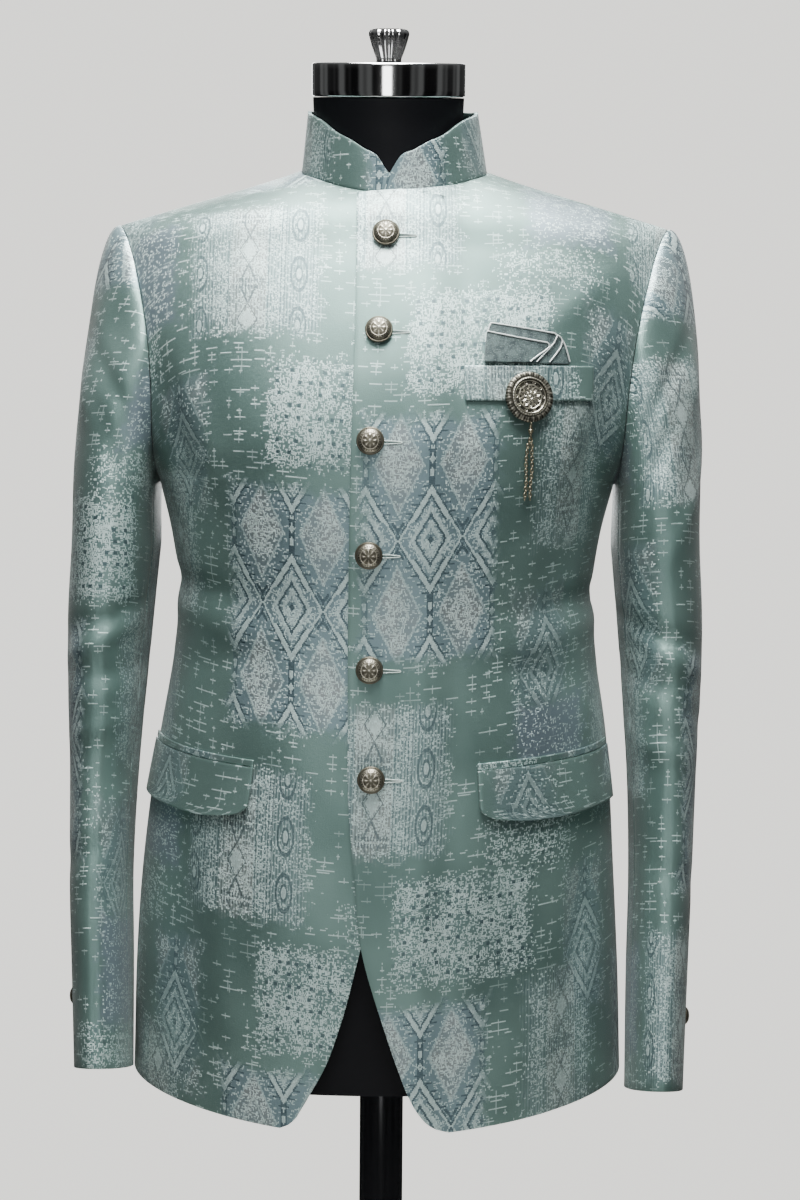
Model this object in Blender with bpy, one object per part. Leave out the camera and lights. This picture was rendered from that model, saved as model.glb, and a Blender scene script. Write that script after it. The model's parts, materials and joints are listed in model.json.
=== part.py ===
"""A bandhgala (stand-collar) jacket worn by a limbless dress form on a pole and a round base.

Metres, +Z up. The wearer faces -Y, so the wearer's left is at +X. The origin is the centre of the base's
underside, on the form's vertical axis. The cloth is a set of thin walls, one for each piece that is cut and
sewn. Every panel of the body lies on one torso surface: a stack of rows, each an oval arc from the centre
line to the side seam or the armhole. The table columns are in metres and degrees.
"""

import math

import bmesh
import bpy
from mathutils import Matrix, Vector

# Wall thicknesses and the gap kept between pieces at a seam.
BODY_WALL = 0.0025
SLEEVE_WALL = 0.0020
COLLAR_WALL = 0.0030
FLAP_WALL = 0.0025
JET_WALL = 0.0018
WELT_WALL = 0.0026
SEAM = 0.0004
ON_PANEL = 0.0007

# The torso below the underarm: a row for each level.
LOWER = ("height", "half_width", "front", "back")
LOWER_ROWS = (
    (0.8035, 0.2070, 0.136, 0.128),
    (0.9000, 0.2040, 0.139, 0.130),
    (0.9850, 0.1985, 0.141, 0.127),
    (1.0850, 0.1885, 0.139, 0.113),
    (1.1550, 0.1775, 0.136, 0.101),
    (1.2050, 0.1732, 0.137, 0.100),
    (1.2550, 0.1790, 0.142, 0.108),
    (1.3000, 0.1900, 0.145, 0.118),
)
# The armhole's edge. Angle 0 is the shoulder tip, 90 the front, 180 the underarm and 270 the back.
ARMHOLE = ("angle", "x", "y", "z")
ARMHOLE_ROWS = (
    (0, 0.2278, 0.008, 1.5100),
    (25, 0.2188, -0.024, 1.4975),
    (50, 0.2085, -0.050, 1.4700),
    (75, 0.1975, -0.070, 1.4220),
    (100, 0.1925, -0.074, 1.3780),
    (125, 0.1912, -0.066, 1.3400),
    (150, 0.1906, -0.042, 1.3130),
    (180, 0.1900, 0.002, 1.3000),
    (210, 0.1915, 0.045, 1.3140),
    (235, 0.1940, 0.070, 1.3450),
    (260, 0.1980, 0.083, 1.3850),
    (285, 0.2030, 0.081, 1.4300),
    (310, 0.2120, 0.060, 1.4750),
    (335, 0.2205, 0.034, 1.5000),
)
# The centre line above the underarm, against the armhole angle of the row that starts there. "fall" is the
# power with which a row's height runs from its centre to its end.
CENTRE = ("angle", "front_y", "front_z", "back_y", "back_z", "fall")
CENTRE_ROWS = (
    (0, -0.002, 1.5740, -0.002, 1.5740, 1.05),
    (12, -0.044, 1.5560, 0.050, 1.5710, 1.10),
    (25, -0.0755, 1.5310, 0.080, 1.5520, 1.25),
    (50, -0.0995, 1.4850, 0.104, 1.5050, 1.60),
    (75, -0.119, 1.4400, 0.117, 1.4560, 2.00),
    (100, -0.132, 1.4020, 0.1225, 1.4120, 2.00),
    (125, -0.141, 1.3680, 0.1235, 1.3720, 2.00),
    (150, -0.1455, 1.3350, 0.1215, 1.3380, 2.00),
    (180, -0.145, 1.3000, 0.118, 1.3000, 2.00),
)
# Sideways lean of the hung jacket at each height.
LEAN = ("height", "shift")
LEAN_ROWS = (
    (0.80, -0.004),
    (0.98, -0.004),
    (1.09, -0.0005),
    (1.30, 0.001),
    (1.45, 0.005),
    (1.56, 0.005),
    (1.62, 0.003),
)

SQUARE = 2.25  # power of the oval rows: 2 is an ellipse, more is squarer
SIDE_Y = 0.002  # depth of the side seam
NECK_HALF_WIDTH = 0.077
NECK_Y = -0.004
NECK_FRONT = 0.071
NECK_BACK = 0.066
NECK_RISE = 0.002  # how far the shoulder line curves up into the neck
NECK_RISE_FROM = 0.125

# Front edges, in each front's own half: x is negative past the centre line. The wearer's left is on top.
EDGE = ("height", "top_x", "under_x")
EDGE_ROWS = (
    (0.7815, 0.0640, 0.0880),
    (0.7850, 0.0505, 0.0745),
    (0.7905, 0.0415, 0.0660),
    (0.8000, 0.0335, 0.0595),
    (0.8135, 0.0262, 0.0520),
    (0.8350, 0.0180, 0.0405),
    (0.8700, 0.0064, 0.0280),
    (0.9320, -0.0112, 0.0120),
    (0.9906, -0.0180, -0.0020),
    (1.050, -0.0250, -0.0100),
    (1.130, -0.0276, -0.0120),
    (1.288, -0.0275, -0.0120),
    (1.443, -0.0285, -0.0120),
    (1.560, -0.0300, -0.0120),
)
HEM_DROP = 0.0240  # how much lower the hem is at the centre front than at the side
HEM_HALF = 0.205
DROP_FADES_AT = 1.00
OVERLAP_LIFT = 0.0033  # the top front stands off the under front where they overlap
LIFT_FULL_TO = 0.026
LIFT_ENDS_AT = 0.060

# Grid lines of the panels.
HEM_LEVELS = (0.0, 0.004, 0.011, 0.028, 0.065, 0.120, 0.180, 0.240, 0.290, 0.335, 0.380, 0.425, 0.465)
RAISED_ANGLES = (180, 158, 138, 118, 100, 83, 67, 53, 41, 32, 25)
NECK_STEPS = {"front": (9, 22, 40, 58, 75), "back": (0, 9, 22, 40, 60, 76)}
FRONT_COLUMNS = 11
BACK_COLUMNS = 8

# Collar: height of the band against the angle round the neck, 0 at the centre front and 180 at the back.
COLLAR = ("angle", "height")
COLLAR_ROWS = (
    (0, 0.0140),
    (3, 0.0200),
    (7, 0.0275),
    (16, 0.0330),
    (26, 0.0380),
    (37, 0.0405),
    (51, 0.0450),
    (90, 0.0475),
    (180, 0.0475),
)
COLLAR_SHARES = (0.0, 0.4, 0.85, 1.0)
COLLAR_STEP = 0.018
COLLAR_END_PARTS = 4
COLLAR_NEAREST = 0.0015
COLLAR_TOP_HALF_WIDTH = 0.0700
COLLAR_TOP_FRONT = 0.0640
COLLAR_TOP_BACK = 0.0640
COLLAR_TOP_Y = -0.0105
COLLAR_MEETS_AT = -0.0045
COLLAR_LAP = 0.0050  # how far the meeting edges lean towards the wearer's right at the foot

# Sleeves: centre and half sizes of the rings below the armhole.
SLEEVE = ("height", "x", "y", "half_x", "half_y")
SLEEVE_ROWS = (
    (1.245, 0.2262, -0.006, 0.0368, 0.0800),
    (1.160, 0.2305, -0.012, 0.0335, 0.0740),
    (1.055, 0.2322, -0.022, 0.0275, 0.0680),
    (0.970, 0.2300, -0.038, 0.0250, 0.0650),
    (0.900, 0.2270, -0.052, 0.0243, 0.0625),
    (0.803, 0.2240, -0.070, 0.0230, 0.0590),
)
SLEEVE_CAP_SHARES = (0.0, 0.045, 0.12, 0.25, 0.44, 0.70)
SLEEVE_LEVELS = (1.245, 1.205, 1.165, 1.125, 1.080, 1.030, 0.975, 0.915, 0.855, 0.803)
CLOSEST_ANGLES = 5
SLEEVE_SQUARE = 2.2
FOREARM_SEAM = 158
HINDARM_SEAM = 263
CUFF_SLANT = 0.24  # the cuff's front is cut higher than its back
CUFF_UP = {-1: 0.014, 1: -0.001}  # the two cuffs hang at slightly different heights
SLEEVE_SHIFT = {-1: -0.0042, 1: 0.0010}  # sideways, below the elbow
SLEEVE_SHIFTS_BELOW = 0.94  # all of the shift from here down, none of it above the next height
SLEEVE_LEANS_ABOVE = 1.10
# Soft folds of the sleeve: ring angle, height, depth, angular reach, height reach.
SLEEVE_FOLD = ("angle", "height", "depth", "angle_reach", "height_reach")
SLEEVE_FOLD_ROWS = (
    (60, 1.425, 0.0035, 16, 0.030),
    (35, 1.385, -0.0022, 18, 0.035),
    (95, 1.330, 0.0030, 22, 0.030),
    (125, 1.165, 0.0030, 30, 0.016),
    (95, 1.120, -0.0018, 30, 0.020),
    (300, 1.150, 0.0025, 30, 0.020),
    (130, 1.065, 0.0022, 30, 0.018),
    (20, 1.255, 0.0018, 26, 0.040),
)

# Hip pockets and the chest pocket, as places in each front's own half.
FLAP_X = {1: (0.0755, 0.1835), -1: (0.1010, 0.1865)}
FLAP_TOP = {1: (1.0745, 1.0835), -1: (1.0745, 1.0845)}
FLAP_DEPTH = 0.044
FLAP_CORNER = 0.014
JET_DEPTH = 0.0055
WELT_X = (0.0570, 0.1595)
WELT_TOP = (1.3920, 1.3935)
WELT_DEPTH = 0.0270

# The pocket square's outline above the welt.
POCKET_SQUARE = ("foot_x", "top_x", "top_z", "lift")
POCKET_SQUARE_ROWS = (
    (0.0725, 0.0738, 1.4170, 0.0030),
    (0.0745, 0.0768, 1.4254, 0.0030),
    (0.0950, 0.1000, 1.4218, 0.0030),
    (0.1130, 0.1200, 1.4190, 0.0030),
    (0.1210, 0.1270, 1.4180, 0.0027),
    (0.1270, 0.1318, 1.4156, 0.0024),
    (0.1330, 0.1357, 1.4100, 0.0021),
    (0.1405, 0.1385, 1.4020, 0.0018),
)
POCKET_SQUARE_FOOT = 1.3946
POCKET_SQUARE_PARTS = 2
POCKET_SQUARE_WALL = 0.0018

# Buttons down the centre front, from the top.
BUTTON = ("height", "x")
BUTTON_ROWS = (
    (1.4960, -0.0007),
    (1.4190, -0.0054),
    (1.3336, -0.0112),
    (1.2452, -0.0118),
    (1.1548, -0.0108),
    (1.0687, -0.0090),
)
BUTTON_RADIUS = 0.0109
CUFF_BUTTON_ANGLE = 332
CUFF_BUTTON_SIZE = 0.82  # its radius as a share of a front button's

# Brooch on the chest pocket, with its hanging chain.
BROOCH_X = 0.1105
BROOCH_Z = 1.3680
BROOCH_RADIUS = 0.0200
CHAIN_LENGTH = 0.062
CHAIN_HALF_WIDTH = 0.0031
CHAIN_CLEAR = 0.0050  # from the chain's middle to the front, at its foot
CHAIN_SIDES = 8
CHAIN_FLATNESS = 0.6
# Distance from the ring and share of the half width: the ring, the bead and the links.
CHAIN_PROFILE = (
    (0.0, 0.35),
    (0.0016, 0.62),
    (0.0045, 0.62),
    (0.0062, 0.40),
    (0.0105, 0.85),
    (0.030, 1.0),
    (CHAIN_LENGTH - 0.006, 1.0),
    (CHAIN_LENGTH, 0.6),
)

# Dress form.
FORM_BOTTOM = 0.8095
FORM_CLEAR = ("height", "clear")
FORM_CLEAR_ROWS = (
    (0.80, 0.009),
    (0.95, 0.008),
    (1.10, 0.007),
    (1.20, 0.005),
    (1.32, 0.0035),
    (1.42, 0.002),
    (1.50, 0.0010),
    (1.60, 0.0010),
)
FORM_END = 0.94
FORM_LEVELS = (0.8095, 0.8700, 0.9500, 1.0300, 1.1000, 1.1600, 1.2100, 1.2600, 1.2900)
FORM_ANGLES = (180, 150, 125, 100, 78, 58, 40, 25, 12, 0)
FORM_COLUMNS = 7
FORM_END_STEPS = 2
FORM_SIDE_BULGE = 0.05
CAP_TILT = math.radians(8.5)
CAP_RADIUS = 0.0630
CAP_HEIGHT = 0.0270
CAP_CENTRE = Vector((0.0, -0.0135, 1.6145))
NECK = ("height", "y", "half_width", "half_depth")
NECK_ROWS = (
    (1.500, -0.002, 0.058, 0.054),
    (1.535, -0.003, 0.064, 0.060),
    (1.552, -0.005, 0.0630, 0.0590),
    (1.575, -0.009, 0.0615, 0.0585),
    (1.595, -0.0115, 0.0615, 0.0595),
    (1.6140, -0.0135, 0.0622, 0.0622),
)
NECK_SIDES = 28
NECK_TILTS_FROM = 1.55
NECK_LEAN_TO = 1.56
NECK_STRAIGHTENS = (1.52, 1.60)
KNOB_PROFILE = (
    (0.0100, 0),
    (0.0100, 0.0030),
    (0.0150, 0.0185),
    (0.0160, 0.0225),
    (0.0152, 0.0255),
    (0.0115, 0.0270),
)
POLE_RADIUS = 0.0185
BASE_RADIUS = 0.190
BASE_THICKNESS = 0.006
FOOT_HEIGHT = 0.032
TOUCH = 0.0003

GREEN = (0.245, 0.335, 0.325)
METAL = (0.42, 0.38, 0.30)
BLACK = (0.010, 0.011, 0.013)
DARK_PAINT = (0.05, 0.05, 0.055)
CHROME = (0.6, 0.6, 0.6)


def clear_scene():
    for thing in list(bpy.data.objects):
        bpy.data.objects.remove(thing)


def named(columns, rows):
    return [dict(zip(columns, row)) for row in rows]


def spline(rows, key, column, at, period=None):
    """A smooth curve through one column of a table, against its key column."""
    knots = [(row[key], row[column]) for row in rows]
    if period:
        at %= period
        knots = [(k - period, v) for k, v in knots[-2:]] + knots + [(k + period, v) for k, v in knots[:3]]
    if knots[0][0] > knots[-1][0]:
        knots.reverse()
    at = min(max(at, knots[0][0]), knots[-1][0])
    i = max(j for j in range(len(knots) - 1) if knots[j][0] <= at + 1e-12)

    def slope(j):
        if j == 0 or j == len(knots) - 1:
            a, b = (0, 1) if j == 0 else (-2, -1)
            return (knots[b][1] - knots[a][1]) / (knots[b][0] - knots[a][0])
        before, here, after = knots[j - 1], knots[j], knots[j + 1]
        h0, h1 = here[0] - before[0], after[0] - here[0]
        d0, d1 = (here[1] - before[1]) / h0, (after[1] - here[1]) / h1
        return (d0 * h1 + d1 * h0) / (h0 + h1)

    h = knots[i + 1][0] - knots[i][0]
    t = (at - knots[i][0]) / h
    return (
        (2 * t**3 - 3 * t**2 + 1) * knots[i][1]
        + (t**3 - 2 * t**2 + t) * h * slope(i)
        + (3 * t**2 - 2 * t**3) * knots[i + 1][1]
        + (t**3 - t**2) * h * slope(i + 1)
    )


def smooth(low, high, value):
    t = min(1.0, max(0.0, (value - low) / (high - low)))
    return t * t * (3 - 2 * t)


LOWER_TABLE = named(LOWER, LOWER_ROWS)
ARMHOLE_TABLE = named(ARMHOLE, ARMHOLE_ROWS)
CENTRE_TABLE = named(CENTRE, CENTRE_ROWS)
LEAN_TABLE = named(LEAN, LEAN_ROWS)
EDGE_TABLE = named(EDGE, EDGE_ROWS)
COLLAR_TABLE = named(COLLAR, COLLAR_ROWS)
SLEEVE_TABLE = named(SLEEVE, SLEEVE_ROWS)
FOLD_TABLE = named(SLEEVE_FOLD, SLEEVE_FOLD_ROWS)
FORM_TABLE = named(FORM_CLEAR, FORM_CLEAR_ROWS)
NECK_TABLE = named(NECK, NECK_ROWS)
HEM = LOWER_ROWS[0][0]
UNDERARM = LOWER_ROWS[-1][0]


def lean(height):
    return spline(LEAN_TABLE, "height", "shift", height)


def armhole(angle):
    return Vector([spline(ARMHOLE_TABLE, "angle", c, angle, 360) for c in ("x", "y", "z")])


class Row:
    """One arc of the torso surface, from the centre line (share 0) to its end (share 1), on the +X half."""

    def __init__(self, side, height=None, angle=None):
        sign = -1 if side == "front" else 1
        if angle is None:
            self.start_y = sign * spline(LOWER_TABLE, "height", side, height)
            self.start_z = height
            self.end = Vector((spline(LOWER_TABLE, "height", "half_width", height), SIDE_Y, height))
            self.fall = 2.0
            self.raised = 0.0
        else:
            self.start_y = spline(CENTRE_TABLE, "angle", side + "_y", angle)
            self.start_z = spline(CENTRE_TABLE, "angle", side + "_z", angle)
            self.end = armhole(angle if side == "front" else 360 - angle)
            self.fall = spline(CENTRE_TABLE, "angle", "fall", angle)
            self.raised = 1 - smooth(0, RAISED_ANGLES[-1], angle)
        run = self.end.y - self.start_y
        turned = min(0.985, abs(run) / max(abs(self.start_y) + 0.003, 0.004))
        self.turn = math.acos((1 - turned) ** (SQUARE / 2))
        self.low = height is not None and angle is None and height < DROP_FADES_AT and side == "front"
        self.height = self.start_z

    def share_at(self, x):
        """The share of the arc's turn at which it reaches x, negative past the centre line."""
        part = min(1.0, abs(x) / self.end.x) ** (SQUARE / 2) * math.sin(self.turn)
        return math.copysign(math.asin(min(1.0, part)) / self.turn, x)

    def at(self, share):
        turn = abs(share) * self.turn
        power = 2 / SQUARE
        across = (math.sin(turn) / math.sin(self.turn)) ** power if turn > 0 else 0.0
        along = (1 - max(0.0, math.cos(turn)) ** power) / (1 - max(0.0, math.cos(self.turn)) ** power)
        x = self.end.x * across
        y = self.start_y + (self.end.y - self.start_y) * along
        z = self.start_z + (self.end.z - self.start_z) * across**self.fall
        if self.raised and x < NECK_RISE_FROM:
            reach = (NECK_RISE_FROM - max(x, 0.06)) / (NECK_RISE_FROM - NECK_HALF_WIDTH)
            z += self.raised * NECK_RISE * reach**2
        if self.low:
            z -= HEM_DROP * (1 - (x / HEM_HALF) ** 1.6) * (1 - smooth(HEM, DROP_FADES_AT, self.height))
        return Vector((math.copysign(x, share), y, z))

    def neck_share(self, side):
        """The share at which the row meets the neck's oval, or None where it passes outside it."""
        depth = NECK_FRONT if side == "front" else NECK_BACK

        def outside(share):
            p = self.at(share)
            return (p.x / NECK_HALF_WIDTH) ** 2 + ((p.y - NECK_Y) / depth) ** 2 - 1

        if outside(0.0) >= 0:
            return None
        low, high = 0.0, 1.0
        for _ in range(40):
            middle = (low + high) / 2
            low, high = (middle, high) if outside(middle) < 0 else (low, middle)
        return high


def raised_angles(side):
    """The armhole angles of the rows above the underarm. The last ones start at set places round the neck."""
    found = list(RAISED_ANGLES)
    for step in NECK_STEPS[side]:
        target = NECK_HALF_WIDTH * math.sin(math.radians(step))
        low, high = 0.0, RAISED_ANGLES[-1]
        for _ in range(30):
            middle = (low + high) / 2
            row = Row(side, angle=middle)
            share = row.neck_share(side)
            if share is None or row.at(share).x < target:
                high = middle
            else:
                low = middle
        found.append(high)
    return found + [0.0]


ANGLES = {}


def all_rows(side):
    if side not in ANGLES:
        ANGLES[side] = raised_angles(side)
    lower = [Row(side, height=HEM + level) for level in HEM_LEVELS]
    return lower + [Row(side, angle=angle) for angle in ANGLES[side]]


def grid_normals(grid):
    """A unit normal at each point of a grid, from the lines through it."""
    rows, columns = len(grid), len(grid[0])
    result = []
    for i in range(rows):
        line = []
        for j in range(columns):
            up = grid[min(i + 1, rows - 1)][j] - grid[max(i - 1, 0)][j]
            over = grid[i][min(j + 1, columns - 1)] - grid[i][max(j - 1, 0)]
            line.append(over.cross(up).normalized())
        result.append(line)
    return result


def lean_grid(grid):
    return [[p + Vector((lean(p.z), 0, 0)) for p in row] for row in grid]


def trim(grid, border, amount):
    """Pulls one border of a grid back into the panel, to leave the seam's gap."""
    rows, columns = len(grid), len(grid[0])
    pairs = {
        "left": [((i, 0), (i, 1)) for i in range(rows)],
        "right": [((i, columns - 1), (i, columns - 2)) for i in range(rows)],
        "top": [((rows - 1, j), (rows - 2, j)) for j in range(columns)],
    }[border]
    for (i, j), (k, m) in pairs:
        grid[i][j] = grid[i][j] + (grid[k][m] - grid[i][j]).normalized() * amount


def mesh_object(name, points, faces, colour, metallic=0.0, rough=0.6):
    mesh = bpy.data.meshes.new(name)
    mesh.from_pydata([tuple(p) for p in points], [], faces)
    work = bmesh.new()
    work.from_mesh(mesh)
    bmesh.ops.remove_doubles(work, verts=work.verts, dist=1e-6)
    bmesh.ops.recalc_face_normals(work, faces=work.faces)
    if work.calc_volume(signed=True) < 0:
        bmesh.ops.reverse_faces(work, faces=work.faces)
    work.to_mesh(mesh)
    work.free()
    thing = bpy.data.objects.new(name, mesh)
    bpy.context.scene.collection.objects.link(thing)
    mesh.shade_smooth()
    mesh.set_sharp_from_angle(angle=math.radians(40))
    material = bpy.data.materials.new(name)
    material.use_nodes = True
    shader = material.node_tree.nodes["Principled BSDF"]
    shader.inputs["Base Color"].default_value = (*colour, 1)
    shader.inputs["Metallic"].default_value = metallic
    shader.inputs["Roughness"].default_value = rough
    mesh.materials.append(material)
    return thing


def wall(name, outer, normals, thickness, colour=GREEN):
    """A panel of cloth: outer points, their copy moved in along the normals, and the edges between."""
    rows, columns = len(outer), len(outer[0])
    inner = [[p - n * thickness for p, n in zip(a, b)] for a, b in zip(outer, normals)]
    points = [p for row in outer for p in row] + [p for row in inner for p in row]
    count = rows * columns
    faces = []
    for i in range(rows - 1):
        for j in range(columns - 1):
            a, b, c, d = (r * columns + s for r, s in ((i, j), (i, j + 1), (i + 1, j + 1), (i + 1, j)))
            faces += [(a, b, c, d), (a + count, d + count, c + count, b + count)]
    border = [j for j in range(columns)]
    border += [i * columns + columns - 1 for i in range(1, rows)]
    border += [(rows - 1) * columns + j for j in range(columns - 2, -1, -1)]
    border += [i * columns for i in range(rows - 2, 0, -1)]
    for a, b in zip(border, border[1:] + border[:1]):
        faces.append((a, a + count, b + count, b))
    return mesh_object(name, points, faces, colour)


def turned(name, profile, place, axis, colour, steps=20, metallic=1.0, rough=0.35, lobes=0, lobe=0.0):
    """A solid of revolution from (radius, height) pairs, foot to top, standing on place along axis."""
    spin = Vector((0, 0, 1)).rotation_difference(Vector(axis)).to_matrix()
    points, faces = [], []
    for radius, height in profile:
        for k in range(steps):
            a = 2 * math.pi * k / steps
            r = radius * (1 + lobe * math.cos(lobes * a))
            points.append(Vector(place) + spin @ Vector((r * math.cos(a), r * math.sin(a), height)))
    for i in range(len(profile) - 1):
        for k in range(steps):
            a, b = i * steps + k, i * steps + (k + 1) % steps
            faces.append((a, b, b + steps, a + steps))
    faces.append(tuple(range(steps - 1, -1, -1)))
    last = (len(profile) - 1) * steps
    faces.append(tuple(last + k for k in range(steps)))
    return mesh_object(name, points, faces, colour, metallic, rough)


def mirrored(grid):
    """The grid on the -X half, its columns in reverse order so that it still faces outwards."""
    return [[Vector((-p.x, p.y, p.z)) for p in reversed(row)] for row in grid]


def seam_normals(grid, normals, border, across):
    """Normals along a seam, square to the seam and to the direction across it, so both walls end parallel."""
    rows, columns = len(grid), len(grid[0])
    if border == "top":
        last = rows - 1
        cells = [(last, j, (last, max(j - 1, 0)), (last, min(j + 1, columns - 1))) for j in range(columns)]
    else:
        j = 0 if border == "left" else columns - 1
        cells = [(i, j, (max(i - 1, 0), j), (min(i + 1, rows - 1), j)) for i in range(rows)]
    for i, j, a, b in cells:
        along = grid[b[0]][b[1]] - grid[a[0]][a[1]]
        found = along.cross(across).normalized()
        if found.dot(normals[i][j]) < 0:
            found = -found
        normals[i][j] = found


def front_grid(which):
    """The outer surface of one front on the +X half, and its normals. which is top or under."""
    grid = []
    for row in all_rows("front"):
        start = row.neck_share("front")
        if start is None:
            start = 0.05
            for _ in range(6):
                start = row.share_at(spline(EDGE_TABLE, "height", which + "_x", row.at(start).z))
        line = []
        for j in range(FRONT_COLUMNS + 1):
            share = start + (1 - start) * j / FRONT_COLUMNS
            line.append(row.at(share))
        grid.append(line)
    normals = grid_normals(grid)
    if which == "top":
        for line, normal_line in zip(grid, normals):
            for j, (p, n) in enumerate(zip(line, normal_line)):
                line[j] = p + n * OVERLAP_LIFT * (1 - smooth(LIFT_FULL_TO, LIFT_ENDS_AT, p.x))
    seam_normals(grid, normals, "top", Vector((0, 1, 0)))
    below = len(HEM_LEVELS)
    kept = [line[-1].copy() for line in normals]
    seam_normals(grid, normals, "right", Vector((0, 1, 0)))
    for i in range(below + 1, len(grid)):
        normals[i][-1] = kept[i]
    return grid, normals


def back_grid():
    grid = []
    for row in all_rows("back"):
        start = row.neck_share("back") or 0.0
        grid.append([row.at(start + (1 - start) * j / BACK_COLUMNS) for j in range(BACK_COLUMNS + 1)])
    normals = [[-n for n in line] for line in grid_normals(grid)]
    kept_right = [line[-1].copy() for line in normals]
    kept_left = [line[0].copy() for line in normals]
    seam_normals(grid, normals, "left", Vector((1, 0, 0)))
    seam_normals(grid, normals, "right", Vector((0, 1, 0)))
    for i, line in enumerate(grid):
        if i > len(HEM_LEVELS):
            normals[i][-1] = kept_right[i]
        if line[0].x > 0.001:
            normals[i][0] = kept_left[i]
    seam_normals(grid, normals, "top", Vector((0, 1, 0)))
    return grid, normals


def flipped(grid, normals):
    """A front's or back's grid and normals moved to the -X half."""
    return mirrored(grid), [[Vector((-n.x, n.y, n.z)) for n in reversed(line)] for line in normals]


def trim_upper(grid, border, amount, lower_only):
    """Trims a side border only up to the underarm, where the armhole begins."""
    whole = [row[:] for row in grid]
    trim(grid, border, amount)
    for i in range(len(grid)):
        if i > lower_only:
            grid[i] = whole[i]


def build_body():
    """Two fronts and two backs. Returns the untrimmed surfaces, for what lies on them."""
    surfaces = {}
    below = len(HEM_LEVELS)
    for name, maker, side in (
        ("front_left", lambda: front_grid("top"), 1),
        ("front_right", lambda: front_grid("under"), -1),
        ("back_left", back_grid, 1),
        ("back_right", back_grid, -1),
    ):
        grid, normals = maker()
        surfaces[name] = ([row[:] for row in grid], [row[:] for row in normals])
        trimmed = [row[:] for row in grid]
        trim_upper(trimmed, "right", SEAM / 2, below)
        trim(trimmed, "top", SEAM / 2)
        if name.startswith("back"):
            for row in trimmed:
                if row[0].x < 0.001:
                    row[0] = row[0] + Vector((SEAM / 2, 0, 0))
        if side < 0:
            trimmed, normals = flipped(trimmed, normals)
        wall(name, lean_grid(trimmed), normals, BODY_WALL)
    return surfaces


def ring_point(angle, height, side):
    a = math.radians(angle)
    power = 2 / SLEEVE_SQUARE
    c, s = math.cos(a), math.sin(a)
    x = spline(SLEEVE_TABLE, "height", "x", height) + spline(
        SLEEVE_TABLE, "height", "half_x", height
    ) * math.copysign(abs(c) ** power, c)
    y = spline(SLEEVE_TABLE, "height", "y", height) - spline(
        SLEEVE_TABLE, "height", "half_y", height
    ) * math.copysign(abs(s) ** power, s)
    top, foot = SLEEVE_LEVELS[0], SLEEVE_LEVELS[-1]
    down = (top - height) / (top - foot)
    slant = CUFF_SLANT * (spline(SLEEVE_TABLE, "height", "y", height) - y) * smooth(0.75, 1.0, down)
    return Vector((x, y, height + slant + CUFF_UP[side] * down))


def fold_depth(angle, height):
    total = 0.0
    for fold in FOLD_TABLE:
        across = (angle - fold["angle"] + 180) % 360 - 180
        up = height - fold["height"]
        away = (across / fold["angle_reach"]) ** 2 + (up / fold["height_reach"]) ** 2
        total += fold["depth"] * math.exp(-away)
    return total


def sleeve_angles():
    """The rows' own armhole angles, without those closer together than a ring needs."""
    found = []
    for side in ("front", "back"):
        kept = [0.0]
        for angle in sorted(ANGLES[side])[1:]:
            if angle - kept[-1] >= CLOSEST_ANGLES:
                kept.append(angle)
        found.append(kept)
    return found[0] + [360 - a for a in reversed(found[1][1:-1])]


def sleeve_grid(side):
    """The whole sleeve as rings from the armhole to the cuff, on the +X half, and its normals."""
    angles = sleeve_angles()
    rings = []
    for t in SLEEVE_CAP_SHARES:
        ring = []
        for angle in angles:
            a = math.radians(angle)
            start = armhole(angle) + Vector((SEAM + 0.0001, 0, 0))
            end = ring_point(angle, SLEEVE_LEVELS[0], side)
            out = Vector((0.58 + 0.42 * math.cos(a), -0.35 * math.sin(a), -0.30 + 0.50 * math.cos(a)))
            out.normalize()
            down = Vector((0.02, -0.03, -1)).normalized()
            reach = (end - start).length
            p = (2 * t**3 - 3 * t**2 + 1) * start + (3 * t**2 - 2 * t**3) * end
            p += (t**3 - 2 * t**2 + t) * (0.052 + 0.030 * math.cos(a)) * out
            p += (t**3 - t**2) * 0.9 * reach * down
            ring.append(p)
        rings.append(ring)
    for height in SLEEVE_LEVELS:
        rings.append([ring_point(angle, height, side) for angle in angles])
    normals = []
    for i, ring in enumerate(rings):
        line = []
        for j in range(len(ring)):
            over = ring[(j + 1) % len(ring)] - ring[j - 1]
            down = rings[min(i + 1, len(rings) - 1)][j] - rings[max(i - 1, 0)][j]
            line.append(over.cross(down).normalized())
        normals.append(line)
    if (rings[-1][0] - sum(rings[-1], Vector()) / len(angles)).dot(normals[-1][0]) < 0:
        normals = [[-n for n in line] for line in normals]
    normals[0] = [Vector((0, n.y, n.z)).normalized() for n in normals[0]]
    for i, ring in enumerate(rings):
        fade = smooth(0, 3, i)
        for j, angle in enumerate(angles):
            ring[j] = ring[j] - normals[i][j] * fold_depth(angle, ring[j].z) * fade
    return rings, normals, angles


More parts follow.
